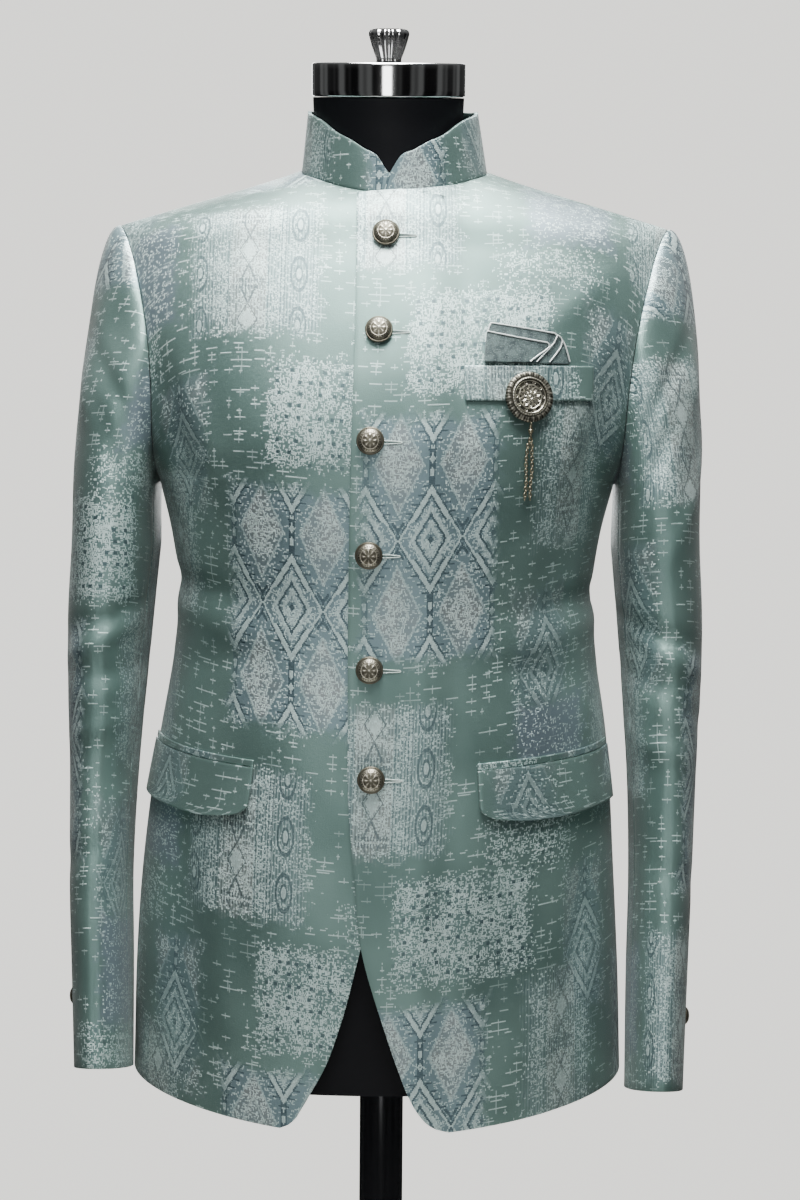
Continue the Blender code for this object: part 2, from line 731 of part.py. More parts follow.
def build_sleeve(side, word):
    rings, normals, angles = sleeve_grid(side)
    fore = min(range(len(angles)), key=lambda k: abs(angles[k] - FOREARM_SEAM))
    hind = min(range(len(angles)), key=lambda k: abs(angles[k] - HINDARM_SEAM))
    count = len(angles)
    halves = {
        "sleeve_under": list(range(fore, hind + 1)),
        "sleeve_top": [k % count for k in range(hind, count + fore + 1)],
    }
    for name, columns in halves.items():
        grid = [[ring[k].copy() for k in columns] for ring in rings]
        lines = [[line[k].copy() for k in columns] for line in normals]
        trim(grid, "left", SEAM / 2)
        trim(grid, "right", SEAM / 2)
        if side < 0:
            grid, lines = flipped(grid, lines)
        shift = Vector((SLEEVE_SHIFT[side], 0, 0))
        blend = [[1 - smooth(SLEEVE_SHIFTS_BELOW, SLEEVE_LEANS_ABOVE, p.z) for p in row] for row in grid]
        grid = [
            [p + Vector((lean(max(p.z, SLEEVE_LEANS_ABOVE)), 0, 0)) + shift * b for p, b in zip(row, line)]
            for row, line in zip(grid, blend)
        ]
        wall(f"{name}_{word}", grid, lines, SLEEVE_WALL)
    return rings, normals, angles


def neck_points():
    """The seam round the neck on the +X half, from the centre front to the centre back."""
    lines = []
    for side in ("front", "back"):
        rows = all_rows(side)
        inside = [row for row in rows if row.neck_share(side) is not None]
        line = [rows[-len(inside) - 1].at(0.0)]
        lines.append(line + [row.at(row.neck_share(side)) for row in inside])
    return lines[0] + lines[1][-2::-1]


def neck_angle(p):
    """How far round the neck a point lies: 0 at the centre front, 180 at the centre back."""
    depth = NECK_FRONT if p.y < NECK_Y else NECK_BACK
    return math.degrees(math.atan2(p.x / NECK_HALF_WIDTH, (NECK_Y - p.y) / depth))


def collar_feet():
    """The collar's foot on the +X half, with columns added where its front end is rounded off."""
    seam = neck_points()
    feet = []
    for p, q in zip(seam, seam[1:]):
        feet.append(p)
        parts = COLLAR_END_PARTS if not feet[1:] else (2 if (q - p).length > COLLAR_STEP else 1)
        feet += [p.lerp(q, k / parts) for k in range(1, parts)]
    return feet + [seam[-1]]


def build_collar():
    """A band standing round the neck, whose two rounded front ends meet near the centre."""
    half = collar_feet()
    other = [p for p in half[:-1] if -p.x < COLLAR_MEETS_AT - COLLAR_NEAREST]
    line = [Vector((COLLAR_MEETS_AT + SEAM / 2, half[0].y, half[0].z))] + half
    line += [Vector((-p.x, p.y, p.z)) for p in reversed(other)]
    line += [Vector((COLLAR_MEETS_AT - SEAM / 2, half[0].y, half[0].z))]
    tall = max(row["height"] for row in COLLAR_TABLE)
    meets = math.degrees(COLLAR_MEETS_AT / NECK_HALF_WIDTH)
    columns = []
    for foot in line:
        angle = neck_angle(Vector((abs(foot.x), foot.y, foot.z)))
        a = math.copysign(math.radians(angle), foot.x)
        rise = spline(COLLAR_TABLE, "angle", "height", abs(math.degrees(a) - meets))
        depth = COLLAR_TOP_FRONT if angle < 90 else COLLAR_TOP_BACK
        crown = Vector((COLLAR_TOP_HALF_WIDTH * math.sin(a), COLLAR_TOP_Y - depth * math.cos(a), foot.z))
        inward = Vector((-foot.x, NECK_Y - foot.y, 0)).normalized()
        foot = foot + inward * TOUCH + Vector((0, 0, SEAM))
        lap = COLLAR_LAP * (1 - smooth(0, 12, angle))
        column = []
        for share in COLLAR_SHARES:
            up = rise * share
            p = foot.lerp(crown, up / tall)
            p.z = foot.z + up
            p.x -= lap * (1 - share)
            column.append(p)
        columns.append(column)
    grid = [list(row) for row in zip(*columns)]
    normals = []
    for row in grid:
        line = []
        for k, p in enumerate(row):
            after, before = row[min(k + 1, len(row) - 1)], row[max(k - 1, 0)]
            out = Vector((after.y - before.y, before.x - after.x, 0)).normalized()
            line.append(out if out.dot(Vector((p.x, p.y - NECK_Y, 0))) > 0 else -out)
        normals.append(line)
    wall("collar", lean_grid(grid), normals, COLLAR_WALL)


def place_on(surface, x, z):
    """The point and normal of a panel's surface at a given x and z, found within the cell that holds it."""
    grid, normals = surface
    best = None
    for i in range(len(grid) - 1):
        for j in range(len(grid[0]) - 1):
            corners = (grid[i][j], grid[i][j + 1], grid[i + 1][j + 1], grid[i + 1][j])
            s, t = 0.5, 0.5
            for _ in range(6):
                a = corners[0].lerp(corners[1], s)
                b = corners[3].lerp(corners[2], s)
                p = a.lerp(b, t)
                ds = (corners[1] - corners[0]).lerp(corners[2] - corners[3], t)
                dt = b - a
                det = ds.x * dt.z - ds.z * dt.x
                if abs(det) < 1e-12:
                    break
                ex, ez = x - p.x, z - p.z
                s += (ex * dt.z - ez * dt.x) / det
                t += (ds.x * ez - ds.z * ex) / det
            s, t = min(2.0, max(-1.0, s)), min(2.0, max(-1.0, t))
            p = corners[0].lerp(corners[1], s).lerp(corners[3].lerp(corners[2], s), t)
            off = math.hypot(x - p.x, z - p.z)
            miss = max(0.0, -s, s - 1) + max(0.0, -t, t - 1) + (off * 100 if off > 1e-6 else 0.0)
            if best is None or miss < best[0]:
                s, t = min(1.0, max(0.0, s)), min(1.0, max(0.0, t))
                p = corners[0].lerp(corners[1], s).lerp(corners[3].lerp(corners[2], s), t)
                near = (normals[i][j], normals[i][j + 1], normals[i + 1][j + 1], normals[i + 1][j])
                n = near[0].lerp(near[1], s).lerp(near[3].lerp(near[2], s), t).normalized()
                best = (miss, p, n)
                if miss == 0.0:
                    return p, n
    return best[1], best[2]


def panel_point(surface, across, height):
    """The point and normal of a panel at a share of its width and a height."""
    grid, normals = surface
    last = len(grid[0]) - 1
    j = min(int(across * last), last - 1)
    t = across * last - j
    line = [row[j].lerp(row[j + 1], t) for row in grid]
    i = next((k for k in range(len(line) - 2) if line[k + 1].z > height), len(line) - 2)
    s = (height - line[i].z) / (line[i + 1].z - line[i].z)
    low, high = (normals[k][j].lerp(normals[k][j + 1], t) for k in (i, i + 1))
    return line[i].lerp(line[i + 1], s), low.lerp(high, s).normalized()


def share_across(surface, x, height):
    low, high = 0.0, 1.0
    for _ in range(40):
        middle = (low + high) / 2
        if panel_point(surface, middle, height)[0].x < x:
            low = middle
        else:
            high = middle
    return low


def patch(surface, x_range, top, depth, rows, lift, lower_lift, corner=0.0, above=0.0):
    """A piece that lies on a panel: a grid made from the panel's points, moved out.

    Its columns follow the panel's own, so that it bends where the panel bends. top is the height of its upper
    edge at each end of x_range, and above how much higher the whole piece lies. corner rounds the lower inner
    corner.
    """
    first, last = (share_across(surface, x, z) for x, z in zip(x_range, top))
    count = 2 * (len(surface[0][0]) - 1)
    margin = 0.3 / count
    inner = [k / count for k in range(count) if first + margin < k / count < last - margin]
    shares = [first] + inner + [last]
    width = x_range[1] - x_range[0]
    grid, normals = [], []
    for i in range(rows + 1):
        down = 1 - i / rows
        line, normal_line = [], []
        for share in shares:
            across = (share - first) / (last - first)
            drop = depth * down
            if corner:
                inset = corner * max(0.0, down - 1 + corner / depth) / (corner / depth)
                bend = corner - math.sqrt(max(0.0, corner**2 - inset**2))
                share += bend / width * (last - first) * (1 - across) ** 2
                drop -= 0.30 * corner * down**3 * (1 - across) ** 6
            z = top[0] + (top[1] - top[0]) * across + above - drop
            p, n = panel_point(surface, share, z)
            line.append(p + n * (lift + (lower_lift - lift) * down))
            normal_line.append(n)
        grid.append(line)
        normals.append(normal_line)
    return grid, normals


def add_patch(name, made, thickness, side, colour=GREEN):
    grid, normals = made
    if side < 0:
        grid, normals = flipped(grid, normals)
    wall(name, lean_grid(grid), normals, thickness, colour)


def build_pockets(surfaces):
    for side, word, front in ((1, "left", "front_left"), (-1, "right", "front_right")):
        surface = surfaces[front]
        clear = FLAP_WALL + ON_PANEL
        flap = patch(surface, FLAP_X[side], FLAP_TOP[side], FLAP_DEPTH, 5, clear, clear + 0.0020, FLAP_CORNER)
        add_patch(f"flap_{word}", flap, FLAP_WALL, side)
        lift = JET_WALL + ON_PANEL
        jet = patch(surface, FLAP_X[side], FLAP_TOP[side], JET_DEPTH, 1, lift, lift, above=JET_DEPTH + SEAM)
        add_patch(f"pocket_jet_{word}", jet, JET_WALL, side)
    lift = WELT_WALL + ON_PANEL
    welt = patch(surfaces["front_left"], WELT_X, WELT_TOP, WELT_DEPTH, 2, lift, lift)
    add_patch("chest_welt", welt, WELT_WALL, 1)


def on_front(surfaces, x, z):
    """A point and normal on the wearer's left front at a world x, with the lean added."""
    p, n = place_on(surfaces["front_left"], x - lean(z), z)
    return p + Vector((lean(p.z), 0, 0)), n


def build_pocket_square(surfaces):
    """The folded square that stands out of the chest pocket, laid against the front."""
    table = named(POCKET_SQUARE, POCKET_SQUARE_ROWS)
    grid, normals = [], []
    for k in range(POCKET_SQUARE_PARTS + 1):
        share = k / POCKET_SQUARE_PARTS
        line, normal_line = [], []
        for row in table:
            x = row["foot_x"] + (row["top_x"] - row["foot_x"]) * share
            z = POCKET_SQUARE_FOOT + (row["top_z"] - POCKET_SQUARE_FOOT) * share
            p, n = place_on(surfaces["front_left"], x, z)
            line.append(p + n * (row["lift"] + ON_PANEL))
            normal_line.append(n)
        grid.append(line)
        normals.append(normal_line)
    wall("pocket_square", lean_grid(grid), normals, POCKET_SQUARE_WALL)


BUTTON_PROFILE = (
    (0.28, 0.0),
    (0.28, 0.20),
    (0.90, 0.22),
    (1.0, 0.34),
    (0.93, 0.46),
    (0.68, 0.68),
    (0.30, 0.80),
)


def button(name, place, axis, radius):
    profile = [(r * radius, h * radius) for r, h in BUTTON_PROFILE]
    turned(name, profile, place, axis, METAL, steps=14)


def build_buttons(surfaces, sleeves):
    for k, row in enumerate(named(BUTTON, BUTTON_ROWS)):
        p, n = on_front(surfaces, row["x"], row["height"])
        button(f"button_{k + 1}", p + n * TOUCH, n, BUTTON_RADIUS)
    for side, word in ((1, "left"), (-1, "right")):
        rings, normals, angles = sleeves[side]
        column = min(range(len(angles)), key=lambda k: abs(angles[k] - CUFF_BUTTON_ANGLE))
        row = len(rings) - 2
        p, n = rings[row][column].copy(), normals[row][column].copy()
        shift = SLEEVE_SHIFT[side] + lean(SLEEVE_LEANS_ABOVE)
        if side < 0:
            p.x, n.x = -p.x, -n.x
        p.x += shift
        button(f"cuff_button_{word}", p + n * TOUCH, n, BUTTON_RADIUS * CUFF_BUTTON_SIZE)


BROOCH_PROFILE = (
    (0.90, 0.0),
    (1.0, 0.06),
    (0.98, 0.14),
    (0.78, 0.20),
    (0.73, 0.25),
    (0.66, 0.19),
    (0.52, 0.19),
    (0.48, 0.25),
    (0.16, 0.27),
    (0.10, 0.33),
)


def build_brooch(surfaces):
    centre, normal = on_front(surfaces, BROOCH_X, BROOCH_Z)
    centre += normal * (WELT_WALL + ON_PANEL + 2 * TOUCH)
    profile = [(r * BROOCH_RADIUS, h * BROOCH_RADIUS) for r, h in BROOCH_PROFILE]
    turned("brooch", profile, centre, normal, METAL, steps=24)
    down = (Vector((0, 0, -1)) - normal * normal.dot(Vector((0, 0, -1)))).normalized()
    top = centre + down * (BROOCH_RADIUS * 1.012 + TOUCH) + normal * 0.0030
    foot = top + down * CHAIN_LENGTH
    below, below_normal = on_front(surfaces, foot.x, foot.z)
    foot += normal * (CHAIN_CLEAR - (foot - below).dot(below_normal))
    run = (foot - top).normalized()
    across = normal.cross(run).normalized()
    out = run.cross(across).normalized()
    if out.dot(normal) < 0:
        out = -out
    points, faces = [], []
    steps = CHAIN_SIDES
    for along, size in CHAIN_PROFILE:
        for k in range(steps):
            a = 2 * math.pi * k / steps
            r = CHAIN_HALF_WIDTH * size
            aside = across * math.cos(a) + out * CHAIN_FLATNESS * math.sin(a)
            points.append(top + run * along + aside * r)
    for i in range(len(CHAIN_PROFILE) - 1):
        for k in range(steps):
            a, b = i * steps + k, i * steps + (k + 1) % steps
            faces.append((a, b, b + steps, a + steps))
    faces.append(tuple(range(steps)))
    faces.append(tuple(range(len(points) - steps, len(points))))
    mesh_object("brooch_chain", points, faces, METAL, 1.0, 0.35)


def form_rows(side):
    lower = [Row(side, height=height) for height in FORM_LEVELS]
    return lower + [Row(side, angle=angle) for angle in FORM_ANGLES]


def form_points():
    """The jacket's own torso surface, moved in by the wall and the clearance, as closed rings."""
    columns, ends = FORM_COLUMNS, FORM_END_STEPS
    fronts, backs = form_rows("front"), form_rows("back")
    for row in fronts:
        row.low = False
    shares = [FORM_END * k / columns for k in range(columns + 1)]
    front = [[row.at(s) for s in shares] for row in fronts]
    back = [[row.at(s) for s in shares] for row in backs]
    front_normals = grid_normals(front)
    back_normals = [[-n for n in line] for line in grid_normals(back)]
    for grid, normals, sign in ((front, front_normals, -1), (back, back_normals, 1)):
        for line, normal_line in zip(grid, normals):
            normal_line[0] = Vector((0, normal_line[0].y, normal_line[0].z)).normalized()
            for j, n in enumerate(normal_line):
                p = line[j]
                line[j] = p - n * (BODY_WALL + spline(FORM_TABLE, "height", "clear", p.z))
    rings = []
    for i in range(len(front)):
        if i < 1:
            for line in (front[0], back[0]):
                for p in line:
                    p.z = FORM_BOTTOM
        half = list(front[i])
        a, b = front[i][-1], back[i][-1]
        for k in range(1, ends):
            t = k / ends
            p = a.lerp(b, t)
            p.x += FORM_SIDE_BULGE * (b.y - a.y) * math.sin(math.pi * t)
            half.append(p)
        half += list(reversed(back[i]))
        ring = half + [Vector((-p.x, p.y, p.z)) for p in reversed(half[1:-1])]
        rings.append(ring)
    return rings


def neck_tool():
    """The form's neck, which leaves the lean of the shoulders and tilts forward to meet the cap."""
    points, faces = [], []
    steps = NECK_SIDES
    for row in NECK_TABLE:
        level = row["height"]
        tilt = CAP_TILT * smooth(NECK_TILTS_FROM, CAP_CENTRE.z, level)
        shift = lean(min(level, NECK_LEAN_TO)) * (1 - smooth(*NECK_STRAIGHTENS, level))
        for k in range(steps):
            a = 2 * math.pi * k / steps
            x, y = row["half_width"] * math.cos(a), row["half_depth"] * math.sin(a)
            points.append(Vector((shift + x, row["y"] + y * math.cos(tilt), level + y * math.tan(tilt))))
    for i in range(len(NECK_TABLE) - 1):
        for k in range(steps):
            a, b = i * steps + k, i * steps + (k + 1) % steps
            faces.append((a, b, b + steps, a + steps))
    faces.append(tuple(range(steps)))
    faces.append(tuple(range(len(points) - steps, len(points))))
    return mesh_object("form_neck_tool", points, faces, BLACK)


def build_form():
    rings = form_points()
    last = rings[-1]
    half = len(last) // 2
    ridge = []
    for k, p in enumerate(last):
        mate = last[(half - k) % len(last)]
        ridge.append(Vector((p.x, (p.y + mate.y) / 2, (p.z + mate.z) / 2 - 0.0006)))
    for k, p in enumerate(ridge):
        mate = ridge[(half - k) % len(ridge)]
        p.x = mate.x = (p.x + mate.x) / 2
    rings[-1] = ridge
    points = [p + Vector((lean(p.z), 0, 0)) for ring in rings for p in ring]
    count = len(rings[0])
    faces = [tuple(range(count))]
    for i in range(len(rings) - 1):
        for k in range(count):
            a, b = i * count + k, i * count + (k + 1) % count
            faces.append((a, b, b + count, a + count))
    torso = mesh_object("form_torso", points, faces, BLACK, 0.0, 0.5)
    neck = neck_tool()
    neck.hide_render = True
    neck.display_type = "WIRE"
    union = torso.modifiers.new("neck", "BOOLEAN")
    union.operation = "UNION"
    union.solver = "MANIFOLD"
    union.object = neck


def build_stand():
    up = Vector((0, -math.sin(CAP_TILT), math.cos(CAP_TILT)))
    edge = 0.0012
    foot = CAP_CENTRE + up * TOUCH
    band = (
        (CAP_RADIUS - edge, 0),
        (CAP_RADIUS, edge),
        (CAP_RADIUS, CAP_HEIGHT - edge),
        (CAP_RADIUS - edge, CAP_HEIGHT),
    )
    turned("neck_cap", band, foot, up, CHROME, steps=32, rough=0.08)
    seat = foot + up * (CAP_HEIGHT + TOUCH)
    turned("cap_knob", KNOB_PROFILE, seat, up, CHROME, steps=24, rough=0.08, lobes=12, lobe=0.035)
    low = BASE_THICKNESS + FOOT_HEIGHT + 2 * TOUCH
    pole = ((POLE_RADIUS, low), (POLE_RADIUS, FORM_BOTTOM - TOUCH))
    turned("pole", pole, (0, 0, 0), (0, 0, 1), DARK_PAINT, steps=24, rough=0.15)
    plate = (
        (BASE_RADIUS - 0.002, 0),
        (BASE_RADIUS, 0.002),
        (BASE_RADIUS, BASE_THICKNESS - 0.003),
        (BASE_RADIUS - 0.003, BASE_THICKNESS),
    )
    turned("base_plate", plate, (0, 0, 0), (0, 0, 1), DARK_PAINT, steps=36, rough=0.3)
    shoe = ((0.050, 0), (0.050, 0.003), (0.030, 0.010), (0.022, 0.018), (0.021, FOOT_HEIGHT))
    turned("pole_foot", shoe, (0, 0, BASE_THICKNESS + TOUCH), (0, 0, 1), DARK_PAINT, steps=24, rough=0.2)


def main():
    clear_scene()
    surfaces = build_body()
    sleeves = {side: build_sleeve(side, word) for side, word in ((1, "left"), (-1, "right"))}
    build_collar()
    build_pockets(surfaces)
    build_pocket_square(surfaces)
    build_buttons(surfaces, sleeves)
    build_brooch(surfaces)
    build_form()
    build_stand()


main()
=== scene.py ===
"""Looks of a bandhgala (stand-collar) jacket on a limbless dress form.

Metres, +Z up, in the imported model's own frame. The cloth pieces are fine shells on the same torso surface as
the solids, so the tables below repeat the construction's sizes. Every panel is laid out flat in metres in its
UV map, and the brocade is drawn there by shader nodes.
"""

import json
import math

import bmesh
import bpy
import numpy as np
from mathutils import Euler, Matrix, Vector


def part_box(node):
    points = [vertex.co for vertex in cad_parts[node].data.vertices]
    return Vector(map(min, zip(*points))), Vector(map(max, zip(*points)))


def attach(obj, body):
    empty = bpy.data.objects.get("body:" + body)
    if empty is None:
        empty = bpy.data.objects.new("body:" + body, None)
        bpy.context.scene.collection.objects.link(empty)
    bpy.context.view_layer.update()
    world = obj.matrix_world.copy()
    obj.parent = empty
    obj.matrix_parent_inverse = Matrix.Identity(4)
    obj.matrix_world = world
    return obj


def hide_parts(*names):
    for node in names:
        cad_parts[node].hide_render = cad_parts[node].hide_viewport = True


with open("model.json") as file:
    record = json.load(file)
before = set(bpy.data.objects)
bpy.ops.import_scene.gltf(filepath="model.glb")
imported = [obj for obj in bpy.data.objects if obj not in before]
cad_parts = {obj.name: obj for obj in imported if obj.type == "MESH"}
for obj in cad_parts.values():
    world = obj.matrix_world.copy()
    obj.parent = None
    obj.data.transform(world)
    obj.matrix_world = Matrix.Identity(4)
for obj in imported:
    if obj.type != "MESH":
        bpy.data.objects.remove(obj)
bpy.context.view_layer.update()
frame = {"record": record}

# Wall thicknesses and the gap kept between pieces at a seam.
BODY_WALL = 0.0025
SLEEVE_WALL = 0.0020
COLLAR_WALL = 0.0030
FLAP_WALL = 0.0025
JET_WALL = 0.0018
WELT_WALL = 0.0026
SEAM = 0.0004
ON_PANEL = 0.0007

# The torso below the underarm: a row for each level.
LOWER = ("height", "half_width", "front", "back")
LOWER_ROWS = (
    (0.8035, 0.2070, 0.136, 0.128),
    (0.9000, 0.2040, 0.139, 0.130),
    (0.9850, 0.1985, 0.141, 0.127),
    (1.0850, 0.1885, 0.139, 0.113),
    (1.1550, 0.1775, 0.136, 0.101),
    (1.2050, 0.1732, 0.137, 0.100),
    (1.2550, 0.1790, 0.142, 0.108),
    (1.3000, 0.1900, 0.145, 0.118),
)
# The armhole's edge. The angle is 0 at the shoulder tip, 90 at the front, 180 at the underarm, 270 at the back.
ARMHOLE = ("angle", "x", "y", "z")
ARMHOLE_ROWS = (
    (0, 0.2278, 0.008, 1.5100),
    (25, 0.2188, -0.024, 1.4975),
    (50, 0.2085, -0.050, 1.4700),
    (75, 0.1975, -0.070, 1.4220),
    (100, 0.1925, -0.074, 1.3780),
    (125, 0.1912, -0.066, 1.3400),
    (150, 0.1906, -0.042, 1.3130),
    (180, 0.1900, 0.002, 1.3000),
    (210, 0.1915, 0.045, 1.3140),
    (235, 0.1940, 0.070, 1.3450),
    (260, 0.1980, 0.083, 1.3850),
    (285, 0.2030, 0.081, 1.4300),
    (310, 0.2120, 0.060, 1.4750),
    (335, 0.2205, 0.034, 1.5000),
)
# The centre line above the underarm, against the armhole angle of the row that starts there. "fall" is the
# power with which a row's height runs from its centre to its end.
CENTRE = ("angle", "front_y", "front_z", "back_y", "back_z", "fall")
CENTRE_ROWS = (
    (0, -0.002, 1.5740, -0.002, 1.5740, 1.05),
    (12, -0.044, 1.5560, 0.050, 1.5710, 1.10),
    (25, -0.0755, 1.5310, 0.080, 1.5520, 1.25),
    (50, -0.0995, 1.4850, 0.104, 1.5050, 1.60),
    (75, -0.119, 1.4400, 0.117, 1.4560, 2.00),
    (100, -0.132, 1.4020, 0.1225, 1.4120, 2.00),
    (125, -0.141, 1.3680, 0.1235, 1.3720, 2.00),
    (150, -0.1455, 1.3350, 0.1215, 1.3380, 2.00),
    (180, -0.145, 1.3000, 0.118, 1.3000, 2.00),
)
# Sideways lean of the hung jacket at each height.
LEAN = ("height", "shift")
LEAN_ROWS = ((0.80, -0.004), (0.98, -0.004), (1.09, -0.0005), (1.30, 0.001), (1.45, 0.005), (1.56, 0.005), (1.62, 0.003))

SQUARE = 2.25  # power of the oval rows: 2 is an ellipse, more is squarer
SIDE_Y = 0.002  # depth of the side seam
NECK_HALF_WIDTH = 0.077
NECK_Y = -0.004
NECK_FRONT = 0.071
NECK_BACK = 0.066
NECK_RISE = 0.002  # how far the shoulder line curves up into the neck
NECK_RISE_FROM = 0.125

# Front edges, in each front's own half: x is negative past the centre line. The wearer's left front is on top.
EDGE = ("height", "top_x", "under_x")
EDGE_ROWS = (
    (0.7815, 0.0640, 0.0880),
    (0.7850, 0.0505, 0.0745),
    (0.7905, 0.0415, 0.0660),
    (0.8000, 0.0335, 0.0595),
    (0.8135, 0.0262, 0.0520),
    (0.8350, 0.0180, 0.0405),
    (0.8700, 0.0064, 0.0280),
    (0.9320, -0.0112, 0.0120),
    (0.9906, -0.0180, -0.0020),
    (1.050, -0.0250, -0.0100),
    (1.130, -0.0276, -0.0120),
    (1.288, -0.0275, -0.0120),
    (1.443, -0.0285, -0.0120),
    (1.560, -0.0300, -0.0120),
)
HEM_DROP = 0.0240  # how much lower the hem is at the centre front than at the side
HEM_HALF = 0.205
DROP_FADES_AT = 1.00
OVERLAP_LIFT = 0.0033  # the top front stands off the under front where they overlap
LIFT_FULL_TO = 0.026
LIFT_ENDS_AT = 0.060

# Grid lines of the panels.
HEM_LEVELS = (0.0, 0.004, 0.011, 0.028, 0.065, 0.120, 0.180, 0.240, 0.290, 0.335, 0.380, 0.425, 0.465)
RAISED_ANGLES = (180, 158, 138, 118, 100, 83, 67, 53, 41, 32, 25)
NECK_STEPS = {"front": (9, 22, 40, 58, 75), "back": (0, 9, 22, 40, 60, 76)}
FRONT_COLUMNS = 11
BACK_COLUMNS = 8

# Collar: height of the band against the angle round the neck, 0 at the centre front and 180 at the back.
COLLAR = ("angle", "height")
COLLAR_ROWS = (
    (0, 0.0140),
    (3, 0.0200),
    (7, 0.0275),
    (16, 0.0330),
    (26, 0.0380),
    (37, 0.0405),
    (51, 0.0450),
    (90, 0.0475),
    (180, 0.0475),
)
COLLAR_SHARES = (0.0, 0.4, 0.85, 1.0)
COLLAR_STEP = 0.018
COLLAR_END_PARTS = 4
COLLAR_NEAREST = 0.0015
COLLAR_TOP_HALF_WIDTH = 0.0700
COLLAR_TOP_FRONT = 0.0640
COLLAR_TOP_BACK = 0.0640
COLLAR_TOP_Y = -0.0105
COLLAR_MEETS_AT = -0.0045
COLLAR_LAP = 0.0050  # how far the meeting edges lean towards the wearer's right at the foot

# Sleeves: centre and half sizes of the rings below the armhole.
SLEEVE = ("height", "x", "y", "half_x", "half_y")
SLEEVE_ROWS = (
    (1.245, 0.2262, -0.006, 0.0368, 0.0800),
    (1.160, 0.2305, -0.012, 0.0335, 0.0740),
    (1.055, 0.2322, -0.022, 0.0275, 0.0680),
    (0.970, 0.2300, -0.038, 0.0250, 0.0650),
    (0.900, 0.2270, -0.052, 0.0243, 0.0625),
    (0.803, 0.2240, -0.070, 0.0230, 0.0590),
)
SLEEVE_CAP_SHARES = (0.0, 0.045, 0.12, 0.25, 0.44, 0.70)
SLEEVE_LEVELS = (1.245, 1.205, 1.165, 1.125, 1.080, 1.030, 0.975, 0.915, 0.855, 0.803)
CLOSEST_ANGLES = 5
SLEEVE_SQUARE = 2.2
FOREARM_SEAM = 158
HINDARM_SEAM = 263
CUFF_SLANT = 0.24  # the cuff's front is cut higher than its back
CUFF_UP = {-1: 0.014, 1: -0.001}  # the two cuffs hang at slightly different heights
SLEEVE_SHIFT = {-1: -0.0042, 1: 0.0010}  # sideways, below the elbow
# Soft folds of the sleeve: ring angle, height, depth, angular reach, height reach.
SLEEVE_FOLD = ("angle", "height", "depth", "angle_reach", "height_reach")
SLEEVE_FOLD_ROWS = (
    (60, 1.425, 0.0035, 16, 0.030),
    (35, 1.385, -0.0022, 18, 0.035),
    (95, 1.330, 0.0030, 22, 0.030),
    (125, 1.165, 0.0030, 30, 0.016),
    (95, 1.120, -0.0018, 30, 0.020),
    (300, 1.150, 0.0025, 30, 0.020),
    (130, 1.065, 0.0022, 30, 0.018),
    (20, 1.255, 0.0018, 26, 0.040),
)

# Hip pockets and the chest pocket, as places in each front's own half.
FLAP_X = {1: (0.0755, 0.1835), -1: (0.1010, 0.1865)}
FLAP_TOP = {1: (1.0745, 1.0835), -1: (1.0745, 1.0845)}
FLAP_DEPTH = 0.044
FLAP_CORNER = 0.014
JET_DEPTH = 0.0055
WELT_X = (0.0570, 0.1595)
WELT_TOP = (1.3920, 1.3935)
WELT_DEPTH = 0.0270

# The pocket square's outline above the welt.
POCKET_SQUARE = ("foot_x", "top_x", "top_z", "lift")
POCKET_SQUARE_ROWS = (
    (0.0725, 0.0738, 1.4170, 0.0030),
    (0.0745, 0.0768, 1.4254, 0.0030),
    (0.0950, 0.1000, 1.4218, 0.0030),
    (0.1130, 0.1200, 1.4190, 0.0030),
    (0.1210, 0.1270, 1.4180, 0.0027),
    (0.1270, 0.1318, 1.4156, 0.0024),
    (0.1330, 0.1357, 1.4100, 0.0021),
    (0.1405, 0.1385, 1.4020, 0.0018),
)
POCKET_SQUARE_FOOT = 1.3946
POCKET_SQUARE_PARTS = 2
POCKET_SQUARE_WALL = 0.0018

# Buttons down the centre front, from the top.
BUTTON = ("height", "x")
BUTTON_ROWS = ((1.4960, -0.0007), (1.4190, -0.0054), (1.3336, -0.0112), (1.2452, -0.0118), (1.1548, -0.0108), (1.0687, -0.0090))
BUTTON_RADIUS = 0.0109
CUFF_BUTTON_ABOVE_CUFF = 0.021

# Brooch on the chest pocket, with its hanging chain.
BROOCH_X = 0.1105
BROOCH_Z = 1.3680
BROOCH_RADIUS = 0.0200
CHAIN_LENGTH = 0.062
CHAIN_HALF_WIDTH = 0.0031
CHAIN_CLEAR = 0.0050  # from the chain's middle to the front, at its foot

# Dress form.
FORM_BOTTOM = 0.8095
FORM_CLEAR = ("height", "clear")
FORM_CLEAR_ROWS = ((0.80, 0.009), (0.95, 0.008), (1.10, 0.007), (1.20, 0.005), (1.32, 0.0035), (1.42, 0.002), (1.50, 0.0010), (1.60, 0.0010))
FORM_END = 0.94
FORM_LEVELS = (0.8095, 0.8700, 0.9500, 1.0300, 1.1000, 1.1600, 1.2100, 1.2600, 1.2900)
FORM_ANGLES = (180, 150, 125, 100, 78, 58, 40, 25, 12, 0)
FORM_COLUMNS = 7
FORM_END_STEPS = 2
FORM_SIDE_BULGE = 0.05
CAP_TILT = math.radians(8.5)
CAP_RADIUS = 0.0630
CAP_HEIGHT = 0.0270
CAP_CENTRE = Vector((0.0, -0.0135, 1.6145))
NECK = ("height", "y", "half_width", "half_depth")
NECK_ROWS = (
    (1.500, -0.002, 0.058, 0.054),
    (1.535, -0.003, 0.064, 0.060),
    (1.552, -0.005, 0.0630, 0.0590),
    (1.575, -0.009, 0.0615, 0.0585),
    (1.595, -0.0115, 0.0615, 0.0595),
    (1.6140, -0.0135, 0.0622, 0.0622),
)
POLE_RADIUS = 0.0185
BASE_RADIUS = 0.190
BASE_THICKNESS = 0.006
